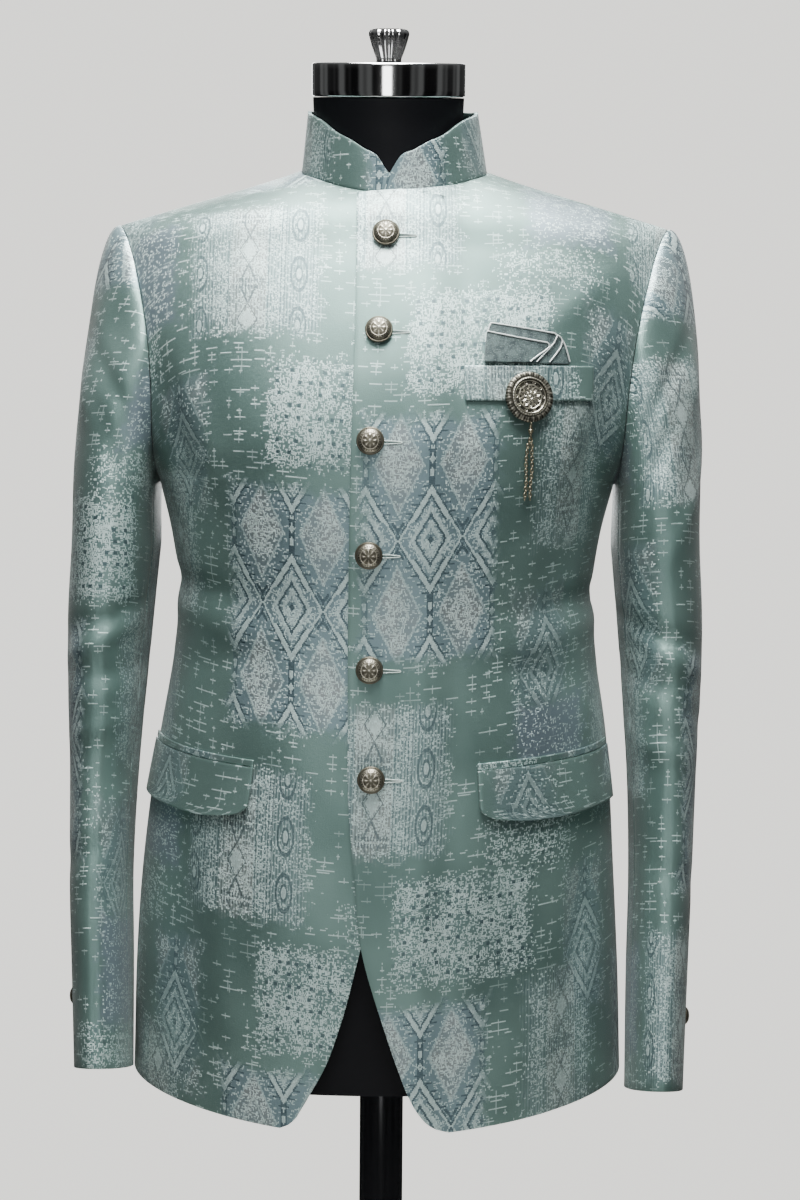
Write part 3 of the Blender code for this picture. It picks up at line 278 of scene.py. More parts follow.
FOOT_HEIGHT = 0.032
TOUCH = 0.0003


def named(columns, rows):
    return [dict(zip(columns, row)) for row in rows]


def spline(rows, key, column, at, period=None):
    """A smooth curve through one column of a table, against its key column."""
    knots = [(row[key], row[column]) for row in rows]
    if period:
        at %= period
        knots = [(k - period, v) for k, v in knots[-2:]] + knots + [(k + period, v) for k, v in knots[:3]]
    if knots[0][0] > knots[-1][0]:
        knots.reverse()
    at = min(max(at, knots[0][0]), knots[-1][0])
    i = max(j for j in range(len(knots) - 1) if knots[j][0] <= at + 1e-12)

    def slope(j):
        if j == 0 or j == len(knots) - 1:
            a, b = (0, 1) if j == 0 else (-2, -1)
            return (knots[b][1] - knots[a][1]) / (knots[b][0] - knots[a][0])
        before, here, after = knots[j - 1], knots[j], knots[j + 1]
        h0, h1 = here[0] - before[0], after[0] - here[0]
        d0, d1 = (here[1] - before[1]) / h0, (after[1] - here[1]) / h1
        return (d0 * h1 + d1 * h0) / (h0 + h1)

    h = knots[i + 1][0] - knots[i][0]
    t = (at - knots[i][0]) / h
    return (
        (2 * t**3 - 3 * t**2 + 1) * knots[i][1]
        + (t**3 - 2 * t**2 + t) * h * slope(i)
        + (3 * t**2 - 2 * t**3) * knots[i + 1][1]
        + (t**3 - t**2) * h * slope(i + 1)
    )


def smooth(low, high, value):
    t = min(1.0, max(0.0, (value - low) / (high - low)))
    return t * t * (3 - 2 * t)


LOWER_TABLE = named(LOWER, LOWER_ROWS)
ARMHOLE_TABLE = named(ARMHOLE, ARMHOLE_ROWS)
CENTRE_TABLE = named(CENTRE, CENTRE_ROWS)
LEAN_TABLE = named(LEAN, LEAN_ROWS)
EDGE_TABLE = named(EDGE, EDGE_ROWS)
COLLAR_TABLE = named(COLLAR, COLLAR_ROWS)
SLEEVE_TABLE = named(SLEEVE, SLEEVE_ROWS)
FOLD_TABLE = named(SLEEVE_FOLD, SLEEVE_FOLD_ROWS)
FORM_TABLE = named(FORM_CLEAR, FORM_CLEAR_ROWS)
NECK_TABLE = named(NECK, NECK_ROWS)
HEM = LOWER_ROWS[0][0]
UNDERARM = LOWER_ROWS[-1][0]


def lean(height):
    return spline(LEAN_TABLE, "height", "shift", height)


def armhole(angle):
    return Vector([spline(ARMHOLE_TABLE, "angle", c, angle, 360) for c in ("x", "y", "z")])


class Row:
    """One arc of the torso surface, from the centre line (share 0) to its end (share 1), on the +X half."""

    def __init__(self, side, height=None, angle=None):
        sign = -1 if side == "front" else 1
        if angle is None:
            self.start_y = sign * spline(LOWER_TABLE, "height", side, height)
            self.start_z = height
            self.end = Vector((spline(LOWER_TABLE, "height", "half_width", height), SIDE_Y, height))
            self.fall = 2.0
            self.raised = 0.0
        else:
            self.start_y = spline(CENTRE_TABLE, "angle", side + "_y", angle)
            self.start_z = spline(CENTRE_TABLE, "angle", side + "_z", angle)
            self.end = armhole(angle if side == "front" else 360 - angle)
            self.fall = spline(CENTRE_TABLE, "angle", "fall", angle)
            self.raised = 1 - smooth(0, RAISED_ANGLES[-1], angle)
        run = self.end.y - self.start_y
        turned = min(0.985, abs(run) / max(abs(self.start_y) + 0.003, 0.004))
        self.turn = math.acos((1 - turned) ** (SQUARE / 2))
        self.low = height is not None and angle is None and height < DROP_FADES_AT and side == "front"
        self.height = self.start_z

    def share_at(self, x):
        """The share of the arc's turn at which it reaches x, negative past the centre line."""
        part = min(1.0, abs(x) / self.end.x) ** (SQUARE / 2) * math.sin(self.turn)
        return math.copysign(math.asin(min(1.0, part)) / self.turn, x)

    def at(self, share):
        turn = abs(share) * self.turn
        power = 2 / SQUARE
        across = (math.sin(turn) / math.sin(self.turn)) ** power if turn > 0 else 0.0
        along = (1 - max(0.0, math.cos(turn)) ** power) / (1 - max(0.0, math.cos(self.turn)) ** power)
        x = self.end.x * across
        y = self.start_y + (self.end.y - self.start_y) * along
        z = self.start_z + (self.end.z - self.start_z) * across**self.fall
        if self.raised and x < NECK_RISE_FROM:
            z += self.raised * NECK_RISE * ((NECK_RISE_FROM - max(x, 0.06)) / (NECK_RISE_FROM - NECK_HALF_WIDTH)) ** 2
        if self.low:
            z -= HEM_DROP * (1 - (x / HEM_HALF) ** 1.6) * (1 - smooth(HEM, DROP_FADES_AT, self.height))
        return Vector((math.copysign(x, share), y, z))

    def neck_share(self, side):
        """The share at which the row meets the neck's oval, or None where it passes outside it."""
        depth = NECK_FRONT if side == "front" else NECK_BACK

        def outside(share):
            p = self.at(share)
            return (p.x / NECK_HALF_WIDTH) ** 2 + ((p.y - NECK_Y) / depth) ** 2 - 1

        if outside(0.0) >= 0:
            return None
        low, high = 0.0, 1.0
        for _ in range(40):
            middle = (low + high) / 2
            low, high = (middle, high) if outside(middle) < 0 else (low, middle)
        return high


# Fine grid of the cloth.
LEVEL_STEP = 0.0062
ANGLE_STEP = 2.5
NECK_STEP = 3.5
FRONT_FINE = 84
BACK_FINE = 64
SLEEVE_RING_STEP = 0.0055
SLEEVE_CAP_RINGS = 40
SLEEVE_ANGLE_STEP = 3.5
SHARE_SAMPLES = 61
EDGE_ROUND = 0.0006

# The brocade's repeat, across and along the cloth.
REPEAT = (0.250, 0.467)
# Where the middle of a diamond ground lands on each piece, as an x and a height.
CLOTH_PLACE = {
    "front_left": (0.034, 1.2554),
    "front_right": (0.072, 1.2030),
    "back_left": (0.070, 1.2300),
    "back_right": (0.065, 1.1900),
}

# Main creases of the body, in each panel's own half. Depth below 0 is a trough.
CREASE = ("panel", "x", "height", "slant", "length", "width", "depth")
CREASE_ROWS = (
    ("front_left", 0.150, 1.205, 8, 0.050, 0.010, -0.0030),
    ("front_left", 0.145, 1.180, 14, 0.045, 0.012, 0.0027),
    ("front_left", 0.120, 1.150, -12, 0.040, 0.011, -0.0022),
    ("front_left", 0.165, 1.330, 78, 0.045, 0.010, -0.0035),
    ("front_left", 0.150, 1.345, 74, 0.050, 0.011, 0.0022),
    ("front_left", 0.165, 0.950, 84, 0.090, 0.013, -0.0035),
    ("front_left", 0.140, 0.930, 86, 0.080, 0.014, 0.0027),
    ("front_left", 0.095, 0.900, 88, 0.070, 0.016, -0.0019),
    ("front_left", 0.150, 1.445, 40, 0.035, 0.012, 0.0014),
    ("front_right", 0.150, 1.215, 10, 0.055, 0.010, -0.0032),
    ("front_right", 0.140, 1.188, 16, 0.045, 0.012, 0.0024),
    ("front_right", 0.118, 1.160, -10, 0.038, 0.010, -0.0019),
    ("front_right", 0.168, 1.330, 76, 0.050, 0.010, -0.0038),
    ("front_right", 0.152, 1.350, 72, 0.050, 0.011, 0.0022),
    ("front_right", 0.160, 0.960, 86, 0.085, 0.014, -0.0032),
    ("front_right", 0.128, 0.930, 84, 0.085, 0.014, 0.0022),
    ("back_left", 0.110, 1.200, 10, 0.060, 0.012, -0.0041),
    ("back_left", 0.100, 1.172, 16, 0.055, 0.013, 0.0032),
    ("back_left", 0.150, 1.330, 70, 0.060, 0.012, -0.0041),
    ("back_left", 0.060, 1.240, 4, 0.045, 0.010, -0.0024),
    ("back_left", 0.120, 0.930, 86, 0.090, 0.016, 0.0035),
    ("back_right", 0.112, 1.208, 8, 0.062, 0.012, -0.0043),
    ("back_right", 0.095, 1.180, 14, 0.050, 0.012, 0.0032),
    ("back_right", 0.150, 1.340, 72, 0.055, 0.012, -0.0038),
    ("back_right", 0.055, 1.150, -6, 0.045, 0.011, -0.0022),
    ("back_right", 0.125, 0.940, 84, 0.085, 0.015, 0.0032),
)
# Finer folds of the sleeves: side, ring angle, height, slant, length, width and depth in metres along the cloth.
RUMPLE = ("side", "angle", "height", "slant", "length", "width", "depth")
RUMPLE_ROWS = (
    (1, 60, 1.390, -38, 0.060, 0.009, -0.0030),
    (1, 50, 1.360, -42, 0.055, 0.009, 0.0027),
    (1, 75, 1.335, -40, 0.060, 0.010, -0.0030),
    (1, 40, 1.300, -50, 0.070, 0.010, 0.0022),
    (1, 110, 1.180, 10, 0.050, 0.008, -0.0035),
    (1, 90, 1.160, 16, 0.045, 0.008, 0.0030),
    (1, 120, 1.140, 6, 0.050, 0.008, -0.0032),
    (1, 70, 1.120, 20, 0.040, 0.008, -0.0022),
    (1, 100, 1.085, 8, 0.045, 0.009, 0.0024),
    (1, 80, 0.985, 14, 0.045, 0.010, -0.0019),
    (1, 300, 1.160, -12, 0.050, 0.009, -0.0027),
    (1, 310, 1.130, -16, 0.045, 0.009, 0.0024),
    (-1, 60, 1.385, -34, 0.055, 0.009, -0.0027),
    (-1, 55, 1.350, -38, 0.055, 0.010, 0.0024),
    (-1, 80, 1.325, -42, 0.060, 0.010, -0.0027),
    (-1, 100, 1.190, 12, 0.050, 0.008, -0.0032),
    (-1, 85, 1.168, 14, 0.045, 0.008, 0.0027),
    (-1, 115, 1.145, 4, 0.050, 0.009, -0.0032),
    (-1, 95, 1.100, 10, 0.045, 0.009, 0.0022),
    (-1, 75, 1.000, 16, 0.045, 0.010, -0.0019),
    (-1, 305, 1.170, -10, 0.050, 0.009, -0.0027),
    (-1, 295, 1.135, -14, 0.050, 0.009, 0.0022),
)
PUCKERS = 17  # ripples of the eased sleeve head along the armhole seam
PUCKER_DEPTH = 0.0009

FLOOR_RADIUS = 1.35
FLOOR_FADES = 0.55
FLOOR_BELOW = -0.0004
CAMERA_PLACE = (0.0126, -1.9, 1.35)
CAMERA_PITCH = math.radians(85.45)
CAMERA_ROLL = math.radians(0.45)
CAMERA_LENS = 67.86


def srgb(red, green, blue):
    """A colour given as it looks on a screen, 0 to 255, turned to the linear values that shaders take."""
    values = [c / 255 for c in (red, green, blue)]
    return tuple(c / 12.92 if c <= 0.04045 else ((c + 0.055) / 1.055) ** 2.4 for c in values) + (1.0,)


class Field:
    """A number that varies over a surface, made by Math nodes in one material's tree."""

    def __init__(self, tree, socket):
        self.tree = tree
        self.socket = socket

    def math(self, operation, *others, clamp=False):
        node = self.tree.nodes.new("ShaderNodeMath")
        node.operation = operation
        node.use_clamp = clamp
        for slot, value in zip(node.inputs, (self,) + others):
            if isinstance(value, Field):
                self.tree.links.new(value.socket, slot)
            else:
                slot.default_value = value
        return Field(self.tree, node.outputs[0])

    def __add__(self, other):
        return self.math("ADD", other)

    def __sub__(self, other):
        return self.math("SUBTRACT", other)

    def __mul__(self, other):
        return self.math("MULTIPLY", other)

    def __truediv__(self, other):
        return self.math("DIVIDE", other)

    def abs(self):
        return self.math("ABSOLUTE")

    def floor(self):
        return self.math("FLOOR")

    def most(self, other):
        return self.math("MAXIMUM", other)

    def least(self, other):
        return self.math("MINIMUM", other)

    def inverse(self):
        return self.math("MULTIPLY_ADD", -1.0, 1.0)

    def above(self, other):
        return self.math("GREATER_THAN", other)

    def below(self, other):
        return self.math("LESS_THAN", other)

    def within(self, low, high):
        return self.above(low) * self.below(high)

    def snap(self, step):
        return self.math("SNAP", step)

    def wrapped(self, period):
        """The distance from the nearest multiple of period, from -period/2 to period/2."""
        return self.math("WRAP", period / 2, -period / 2)

    def ramp(self, low, high, start=0.0, end=1.0):
        """Goes smoothly from start at low to end at high."""
        node = self.tree.nodes.new("ShaderNodeMapRange")
        node.interpolation_type = "SMOOTHSTEP"
        self.tree.links.new(self.socket, node.inputs["Value"])
        for name, value in (("From Min", low), ("From Max", high), ("To Min", start), ("To Max", end)):
            node.inputs[name].default_value = value
        return Field(self.tree, node.outputs["Result"])


def new_material(name):
    material = bpy.data.materials.new(name)
    material.use_nodes = True
    tree = material.node_tree
    return material, tree, tree.nodes["Principled BSDF"]


def set_shader(shader, **values):
    for name, value in values.items():
        shader.inputs[name.replace("_", " ")].default_value = value


def joined(tree, *fields):
    node = tree.nodes.new("ShaderNodeCombineXYZ")
    for slot, value in zip(node.inputs, fields):
        if isinstance(value, Field):
            tree.links.new(value.socket, slot)
        else:
            slot.default_value = value
    return node.outputs[0]


def hashed(tree, u, v, seed=0.0):
    """Three random numbers for each cell numbered by u and v."""
    node = tree.nodes.new("ShaderNodeTexWhiteNoise")
    node.noise_dimensions = "3D"
    tree.links.new(joined(tree, u, v, seed), node.inputs["Vector"])
    parts = tree.nodes.new("ShaderNodeSeparateColor")
    tree.links.new(node.outputs["Color"], parts.inputs[0])
    return [Field(tree, parts.outputs[k]) for k in range(3)]


def cloudy(tree, vector, scale, detail=2.0, rough=0.5):
    node = tree.nodes.new("ShaderNodeTexNoise")
    node.inputs["Scale"].default_value = scale
    node.inputs["Detail"].default_value = detail
    node.inputs["Roughness"].default_value = rough
    tree.links.new(vector, node.inputs["Vector"])
    return Field(tree, node.outputs["Fac"])


def mixed(tree, factor, low, high):
    """A colour between two, each a colour or a socket."""
    node = tree.nodes.new("ShaderNodeMix")
    node.data_type = "RGBA"
    tree.links.new(factor.socket, node.inputs["Factor"])
    for name, value in (("A", low), ("B", high)):
        slot = next(s for s in node.inputs if s.name == name and s.type == "RGBA")
        if isinstance(value, tuple):
            slot.default_value = value
        else:
            tree.links.new(value, slot)
    return next(s for s in node.outputs if s.type == "RGBA")


# The figured grounds of one repeat: middle and half size in metres, kind, and how strong the figure is.
GROUND = ("u", "v", "half_u", "half_v", "kind", "strength")
GROUND_ROWS = (
    (0.000, 0.000, 0.052, 0.095, "lattice", 1.00),
    (-0.036, -0.190, 0.052, 0.058, "bands", 0.95),
    (0.036, 0.156, 0.056, 0.042, "flecks", 1.00),
    (0.122, 0.044, 0.034, 0.062, "bands", 0.70),
    (0.098, -0.098, 0.026, 0.046, "lattice", 0.45),
    (0.110, -0.185, 0.036, 0.044, "mauve", 0.60),
    (-0.100, 0.125, 0.024, 0.060, "lattice", 0.55),
    (0.090, 0.215, 0.040, 0.022, "flecks", 0.45),
)


def lattice_figure(u, v):
    """Chains of tall stepped diamonds joined by beaded stems, with plain soft diamonds between them.

    Returns how much light thread, dark thread and speckle there is, and where the soft diamonds are.
    """
    wide, tall, rise = 0.0510, 0.1180, 0.0430
    us, vs = u.snap(0.0010), v.snap(0.0014)
    du, dv = us.wrapped(wide).abs(), vs.wrapped(tall).abs()
    diamond = du / (wide / 2) + dv / rise
    tip = dv.above(0.0150)
    edge = diamond.within(0.93, 1.00).most(diamond.within(0.83, 1.00) * tip)
    lines = diamond.within(0.76, 0.83) * tip
    lines = lines.most(diamond.within(0.42, 0.50)).most(diamond.below(0.08)).most(diamond.within(1.00, 1.06))
    inner = diamond.within(0.50, 0.64).most(diamond.within(0.20, 0.34))
    ticks = vs.wrapped(0.0070).abs().below(0.0008) * diamond.within(1.06, 1.24) * tip
    crossing = (diamond - 1.16).abs().below(0.05) * dv.below(0.0150)
    stem = du.below(0.0024) * diamond.above(1.05)
    bead = (du / 0.0021 + vs.wrapped(0.0105).abs() / 0.0042).below(1.0) * diamond.above(1.05)
    su = (us + wide / 2).wrapped(wide).abs()
    sv = (vs + tall / 2).wrapped(tall).abs()
    between = su / (wide / 2) + sv / 0.0520
    soft = between.within(0.70, 0.77).most(between.within(0.30, 0.37))
    light = edge.most(inner * 0.75).most(bead * 0.9).most(soft * 0.62)
    dark = lines.most(ticks).most(crossing).most(stem * bead.inverse())
    speckle = diamond.below(0.80).most(between.below(0.70)) * 0.26 + 0.16
    return light, dark * 0.85, speckle, between.below(0.70)


def bands_figure(u, v):
    """Pinstriped bands with outlined diamonds on long legs, and columns of ovals between ruled lines."""
    period = 0.082
    du = u.wrapped(period)
    away = du.abs()
    oval = ((du / 0.0072).math("POWER", 2.0) + (v.wrapped(0.045) / 0.0165).math("POWER", 2.0)).math("SQRT")
    rings = oval.within(0.78, 1.0).most(oval.within(0.30, 0.46)) * away.below(0.0105)
    ruled = away.within(0.0106, 0.0118).most(away.within(0.0140, 0.0148)).most(away.within(0.0240, 0.0249))
    other = (u + period / 2).wrapped(period).abs()
    tall = (v + 0.020).wrapped(0.062).abs()
    jewel = (other / 0.0080 + tall / 0.0135).snap(0.12)
    legs = (other - (tall - 0.0135) * 0.42).abs().below(0.0009) * tall.within(0.0135, 0.0290)
    comb = other.below(0.0130) * tall.within(0.0262, 0.0300) * u.wrapped(0.0024).abs().below(0.0006)
    stripes = u.wrapped(0.0026).abs().below(0.0006)
    dark = rings.most(ruled * 0.7).most(jewel.within(0.84, 1.02)).most(legs).most(comb)
    light = jewel.below(0.60).most(oval.below(0.28) * 0.9).most(stripes * 0.42)
    speckle = away.below(0.0105).inverse() * 0.22 + 0.26
    return light, dark * 0.62, speckle, other.below(0.0150)


def flecks_figure(tree, u, v):
    """A bright broken ground with rows of small dark squares."""
    pitch_u, pitch_v, half = 0.0088, 0.0092, 0.0015
    cell_u, cell_v = (u / pitch_u).floor(), (v / pitch_v).floor()
    chance, shift, _ = hashed(tree, cell_u, cell_v, 5.0)
    du = (u - cell_u * pitch_u - pitch_u / 2 - (shift - 0.5) * 0.004).abs()
    dv = (v - cell_v * pitch_v - pitch_v / 2).abs()
    return du.below(half) * dv.below(half) * chance.above(0.38)


def threads_in_columns(tree, u, v, across, along, long, seed, share):
    """Short weft dashes strung along faint upright threads, in some cells of a grid. Returns 1 on a thread."""
    cell_u, cell_v = (u / across).floor(), (v / along).floor()
    shift = hashed(tree, cell_u, (v / (along * 7)).floor(), seed)[0]
    chance, lean, size = hashed(tree, cell_u, cell_v, seed + 0.5)
    du = (u - (cell_u + 0.5) * across - (shift - 0.5) * (across * 0.6)).abs()
    dv = (v - (cell_v + 0.5) * along - (lean - 0.5) * (along * 0.5)).abs()
    weft = du.below(size * (long * 0.5) + long * 0.14) * dv.below(0.00045) * chance.below(share)
    return weft.most(du.below(0.0004) * chance.below(share * 0.8) * 0.7)


def make_brocade(name):
    """Satin ground in grey green, with figures in light, dark and blue threads that break up at their edges."""
    material, tree, shader = new_material(name)
    uv = tree.nodes.new("ShaderNodeUVMap")
    uv.uv_map = "cloth"
    parts = tree.nodes.new("ShaderNodeSeparateXYZ")
    tree.links.new(uv.outputs[0], parts.inputs[0])
    u, v = Field(tree, parts.outputs[0]), Field(tree, parts.outputs[1])
    plane = uv.outputs[0]

    worn = cloudy(tree, plane, 80.0, 3.0, 0.7)
    broad = cloudy(tree, plane, 9.0, 2.0, 0.5)
    thin = cloudy(tree, plane, 42.0, 2.0, 0.6).ramp(0.34, 0.62, 0.35, 1.0)
    kinds = dict.fromkeys(("lattice", "bands", "flecks", "mauve"))
    for row in named(GROUND, GROUND_ROWS):
        du = (u - row["u"]).wrapped(REPEAT[0]).abs()
        dv = (v - row["v"]).wrapped(REPEAT[1]).abs()
        inside = (du * -1.0 + row["half_u"]).least(dv * -1.0 + row["half_v"]) + (worn - 0.5) * 0.030
        here = inside.ramp(-0.008, 0.010) * row["strength"]
        kinds[row["kind"]] = here if kinds[row["kind"]] is None else kinds[row["kind"]].most(here)
    lattice, bands, flecks, mauve = kinds.values()
    kept = lattice.most(bands).most(flecks).most(mauve)

    weft = hashed(tree, (u / 0.0019).floor(), (v / 0.0007).floor(), 1.0)[0]
    warp = hashed(tree, (u / 0.0007).floor(), (v / 0.0016).floor(), 2.0)[0]
    grain = weft.least(warp)
    lattice_light, lattice_dark, lattice_speckle, soft = lattice_figure(u, v)
    bands_light, bands_dark, bands_speckle, warm = bands_figure(u, v)
    squares = flecks_figure(tree, u, v)
    lines = lattice * lattice_light + bands * bands_light
    shades = (lattice * lattice_dark).most(bands * bands_dark).most(flecks * squares * 0.8)
    fill = (lattice * lattice_speckle).most(bands * bands_speckle).most(flecks * squares.inverse() * 0.58)
    fill = fill.most(mauve * 0.22) + (broad - 0.5) * 0.10
    speckle = grain.below(fill * thin * 0.62)
    loose = threads_in_columns(tree, u, v, 0.0130, 0.0046, 0.0080, 11.0, 0.36)
    loose = loose.most(threads_in_columns(tree, u + 0.005, v, 0.0310, 0.0064, 0.0150, 12.0, 0.30))
    loose = loose * kept.inverse() * broad.ramp(0.34, 0.52, 0.25, 0.80)
    bright = (lines * (warp * 0.35 + 0.55)).most(speckle * (weft * 0.5 + 0.75)).most(loose).least(1.0)
    bright = bright * shades.inverse()

    ground = mixed(tree, broad.ramp(0.30, 0.70), srgb(90, 115, 110), srgb(112, 139, 133))
    blue = (lattice * 0.80).most(mauve * 0.9).most(bands * 0.35).most(flecks * 0.15)
    ground = mixed(tree, blue * (warp * 0.25 + 0.60), ground, srgb(120, 140, 152))
    ground = mixed(tree, mauve * 0.45, ground, srgb(116, 118, 140))
    tinted = (soft * lattice).most(warm * bands) * thin * 0.45
    ground = mixed(tree, tinted, ground, srgb(152, 150, 146))
    colour = mixed(tree, bright, ground, srgb(190, 212, 209))
    colour = mixed(tree, (shades * (weft * 0.3 + 0.7)).least(1.0), colour, srgb(58, 76, 84))
    tree.links.new(colour, shader.inputs["Base Color"])

    rough = bright * 0.14 + 0.33 + (worn - 0.5) * 0.08
    tree.links.new(rough.socket, shader.inputs["Roughness"])
    set_shader(shader, Metallic=0.62, Sheen_Weight=0.08, Sheen_Roughness=0.45)
    bump = tree.nodes.new("ShaderNodeBump")
    bump.inputs["Strength"].default_value = 0.55
    bump.inputs["Distance"].default_value = 0.0004
    threads = u.wrapped(0.0006).abs() * 600.0 + v.wrapped(0.0006).abs() * 600.0
    relief = bright * 0.9 - shades * 0.5 + threads + grain * 0.2
    tree.links.new(relief.socket, bump.inputs["Height"])
    tree.links.new(bump.outputs[0], shader.inputs["Normal"])
    return material


def make_square_cloth():
    """The pocket square's plain satin, darker and greyer than the jacket, with a cloudy bloom."""
    material, tree, shader = new_material("square_cloth")
    uv = tree.nodes.new("ShaderNodeUVMap")
    uv.uv_map = "cloth"
    bloom = cloudy(tree, uv.outputs[0], 130.0, 3.0, 0.65).ramp(0.32, 0.68)
    speck = cloudy(tree, uv.outputs[0], 900.0, 2.0, 0.6)
    colour = mixed(tree, bloom, srgb(48, 60, 62), srgb(92, 109, 108))
    tree.links.new(mixed(tree, speck.ramp(0.52, 0.70) * 0.5, colour, srgb(150, 166, 164)), shader.inputs["Base Color"])
    tree.links.new((bloom * -0.10 + 0.42).socket, shader.inputs["Roughness"])
    set_shader(shader, Metallic=0.30, Sheen_Weight=0.10)
    bump = tree.nodes.new("ShaderNodeBump")
    bump.inputs["Strength"].default_value = 0.4
    bump.inputs["Distance"].default_value = 0.0003
    tree.links.new(speck.socket, bump.inputs["Height"])
    tree.links.new(bump.outputs[0], shader.inputs["Normal"])
    return material


def make_lining():
    material, tree, shader = new_material("lining")
    set_shader(shader, Base_Color=srgb(84, 106, 104), Roughness=0.42, Metallic=0.0)
    return material


def make_metal(name, light, dark, rough):
    """Antique metal: bright where it is rubbed and dark in its hollows, read from the mesh's own attribute."""
    material, tree, shader = new_material(name)
    attribute = tree.nodes.new("ShaderNodeAttribute")
    attribute.attribute_name = "height"
    raised = Field(tree, attribute.outputs["Fac"])
    place = tree.nodes.new("ShaderNodeTexCoord").outputs["Object"]
    stain = cloudy(tree, place, 420.0, 3.0, 0.6)
    rubbed = (raised + (stain - 0.5) * 0.5).ramp(0.15, 0.85)
    tree.links.new(mixed(tree, rubbed, dark, light), shader.inputs["Base Color"])
    tree.links.new((rubbed * -0.18 + rough + 0.18).socket, shader.inputs["Roughness"])
    set_shader(shader, Metallic=0.92)
    bump = tree.nodes.new("ShaderNodeBump")
    bump.inputs["Strength"].default_value = 0.35
    bump.inputs["Distance"].default_value = 0.0002
    tree.links.new(stain.socket, bump.inputs["Height"])
    tree.links.new(bump.outputs[0], shader.inputs["Normal"])
    return material


def make_plain(name, colour, rough, metallic=0.0, grain=0.0, grain_scale=900.0, gloss=0.5):
    """A painted, moulded or plated surface with a fine unevenness in its gloss."""
    material, tree, shader = new_material(name)
    place = tree.nodes.new("ShaderNodeTexCoord").outputs["Object"]
    uneven = cloudy(tree, place, grain_scale, 2.0, 0.5)
    smear = cloudy(tree, place, 14.0, 3.0, 0.6)
    tree.links.new(((smear - 0.5) * 0.10 + rough).socket, shader.inputs["Roughness"])
    set_shader(shader, Base_Color=colour, Metallic=metallic, Specular_IOR_Level=gloss)
    if grain:
        bump = tree.nodes.new("ShaderNodeBump")
        bump.inputs["Strength"].default_value = grain
        bump.inputs["Distance"].default_value = 0.0002
        tree.links.new(uneven.socket, bump.inputs["Height"])
        tree.links.new(bump.outputs[0], shader.inputs["Normal"])
    return material


MATERIALS = {
    "brocade": make_brocade("brocade"),
    "lining": make_lining(),
    "antique": make_metal("antique_metal", srgb(180, 176, 160), srgb(94, 91, 80), 0.28),
    "chain": make_metal("dull_chain", srgb(138, 132, 112), srgb(60, 57, 48), 0.30),
    "silver": make_metal("old_silver", srgb(190, 187, 172), srgb(46, 45, 40), 0.30),
    "form": make_plain("form_black", srgb(12, 13, 16), 0.55, grain=0.4, gloss=0.12),
    "chrome": make_plain("chrome", srgb(226, 226, 226), 0.09, metallic=1.0),
    "pole": make_plain("pole_dark", srgb(30, 31, 34), 0.20, metallic=0.4),
    "base": make_plain("base_dark", srgb(34, 35, 38), 0.38, metallic=0.3, grain=0.25),
    "thread": make_plain("stitching", srgb(186, 201, 196), 0.50, grain=0.6, grain_scale=2600.0),
    # The buttonhole slit's dark colour is painted shade of the cut between the stitched edges.
    "slit_shade": make_plain("buttonhole_slit_shade", srgb(78, 92, 90), 0.70, grain=0.5, gloss=0.2),
    "square": make_square_cloth(),
    "piping": make_plain("piping", srgb(196, 204, 202), 0.36, metallic=0.35, grain=0.4, grain_scale=2200.0),
}


def steps(start, end, step):
    """Even places from start up to, but not including, end."""
    count = max(1, math.ceil(abs(end - start) / step))
    return [start + (end - start) * k / count for k in range(count)]


def neck_row_angle(side, step):
    """The armhole angle of the row that starts at a given place round the neck."""
    target = NECK_HALF_WIDTH * math.sin(math.radians(step))
    low, high = 0.0, RAISED_ANGLES[-1]
    for _ in range(22):
        middle = (low + high) / 2
        row = Row(side, angle=middle)
        share = row.neck_share(side)
        if share is None or row.at(share).x < target:
            high = middle
        else:
            low = middle
    return high


def row_places(side):
    """Which rows the fine grid has: a height below the underarm, an armhole angle above it."""
    heights = steps(HEM, HEM + HEM_LEVELS[2], 0.0037) + steps(HEM + HEM_LEVELS[2], UNDERARM, LEVEL_STEP)
    angles = steps(180, RAISED_ANGLES[-1], ANGLE_STEP) + [RAISED_ANGLES[-1]]
    first = NECK_STEP if side == "front" else 0.0
    angles += [neck_row_angle(side, step) for step in steps(first, 88, NECK_STEP)] + [0.0]
    return [("height", h) for h in heights] + [("angle", a) for a in angles]


def row_at(side, kind, value):
    if kind == "height":
        return Row(side, height=value)
    return Row(side, angle=max(0.0, value))


class Panel:
    """A panel's fine outer surface: points, unit normals and flat places in metres, as arrays of rows."""

    def __init__(self, points, normals, flat, below):
        self.points = points
        self.normals = normals
        self.flat = flat
        self.below = below

    def mirrored(self):
        turn = np.array((-1.0, 1.0, 1.0))
        flat = self.flat[:, ::-1] * np.array((-1.0, 1.0))
        return Panel(self.points[:, ::-1] * turn, self.normals[:, ::-1] * turn, flat, self.below)


PLACES = {}


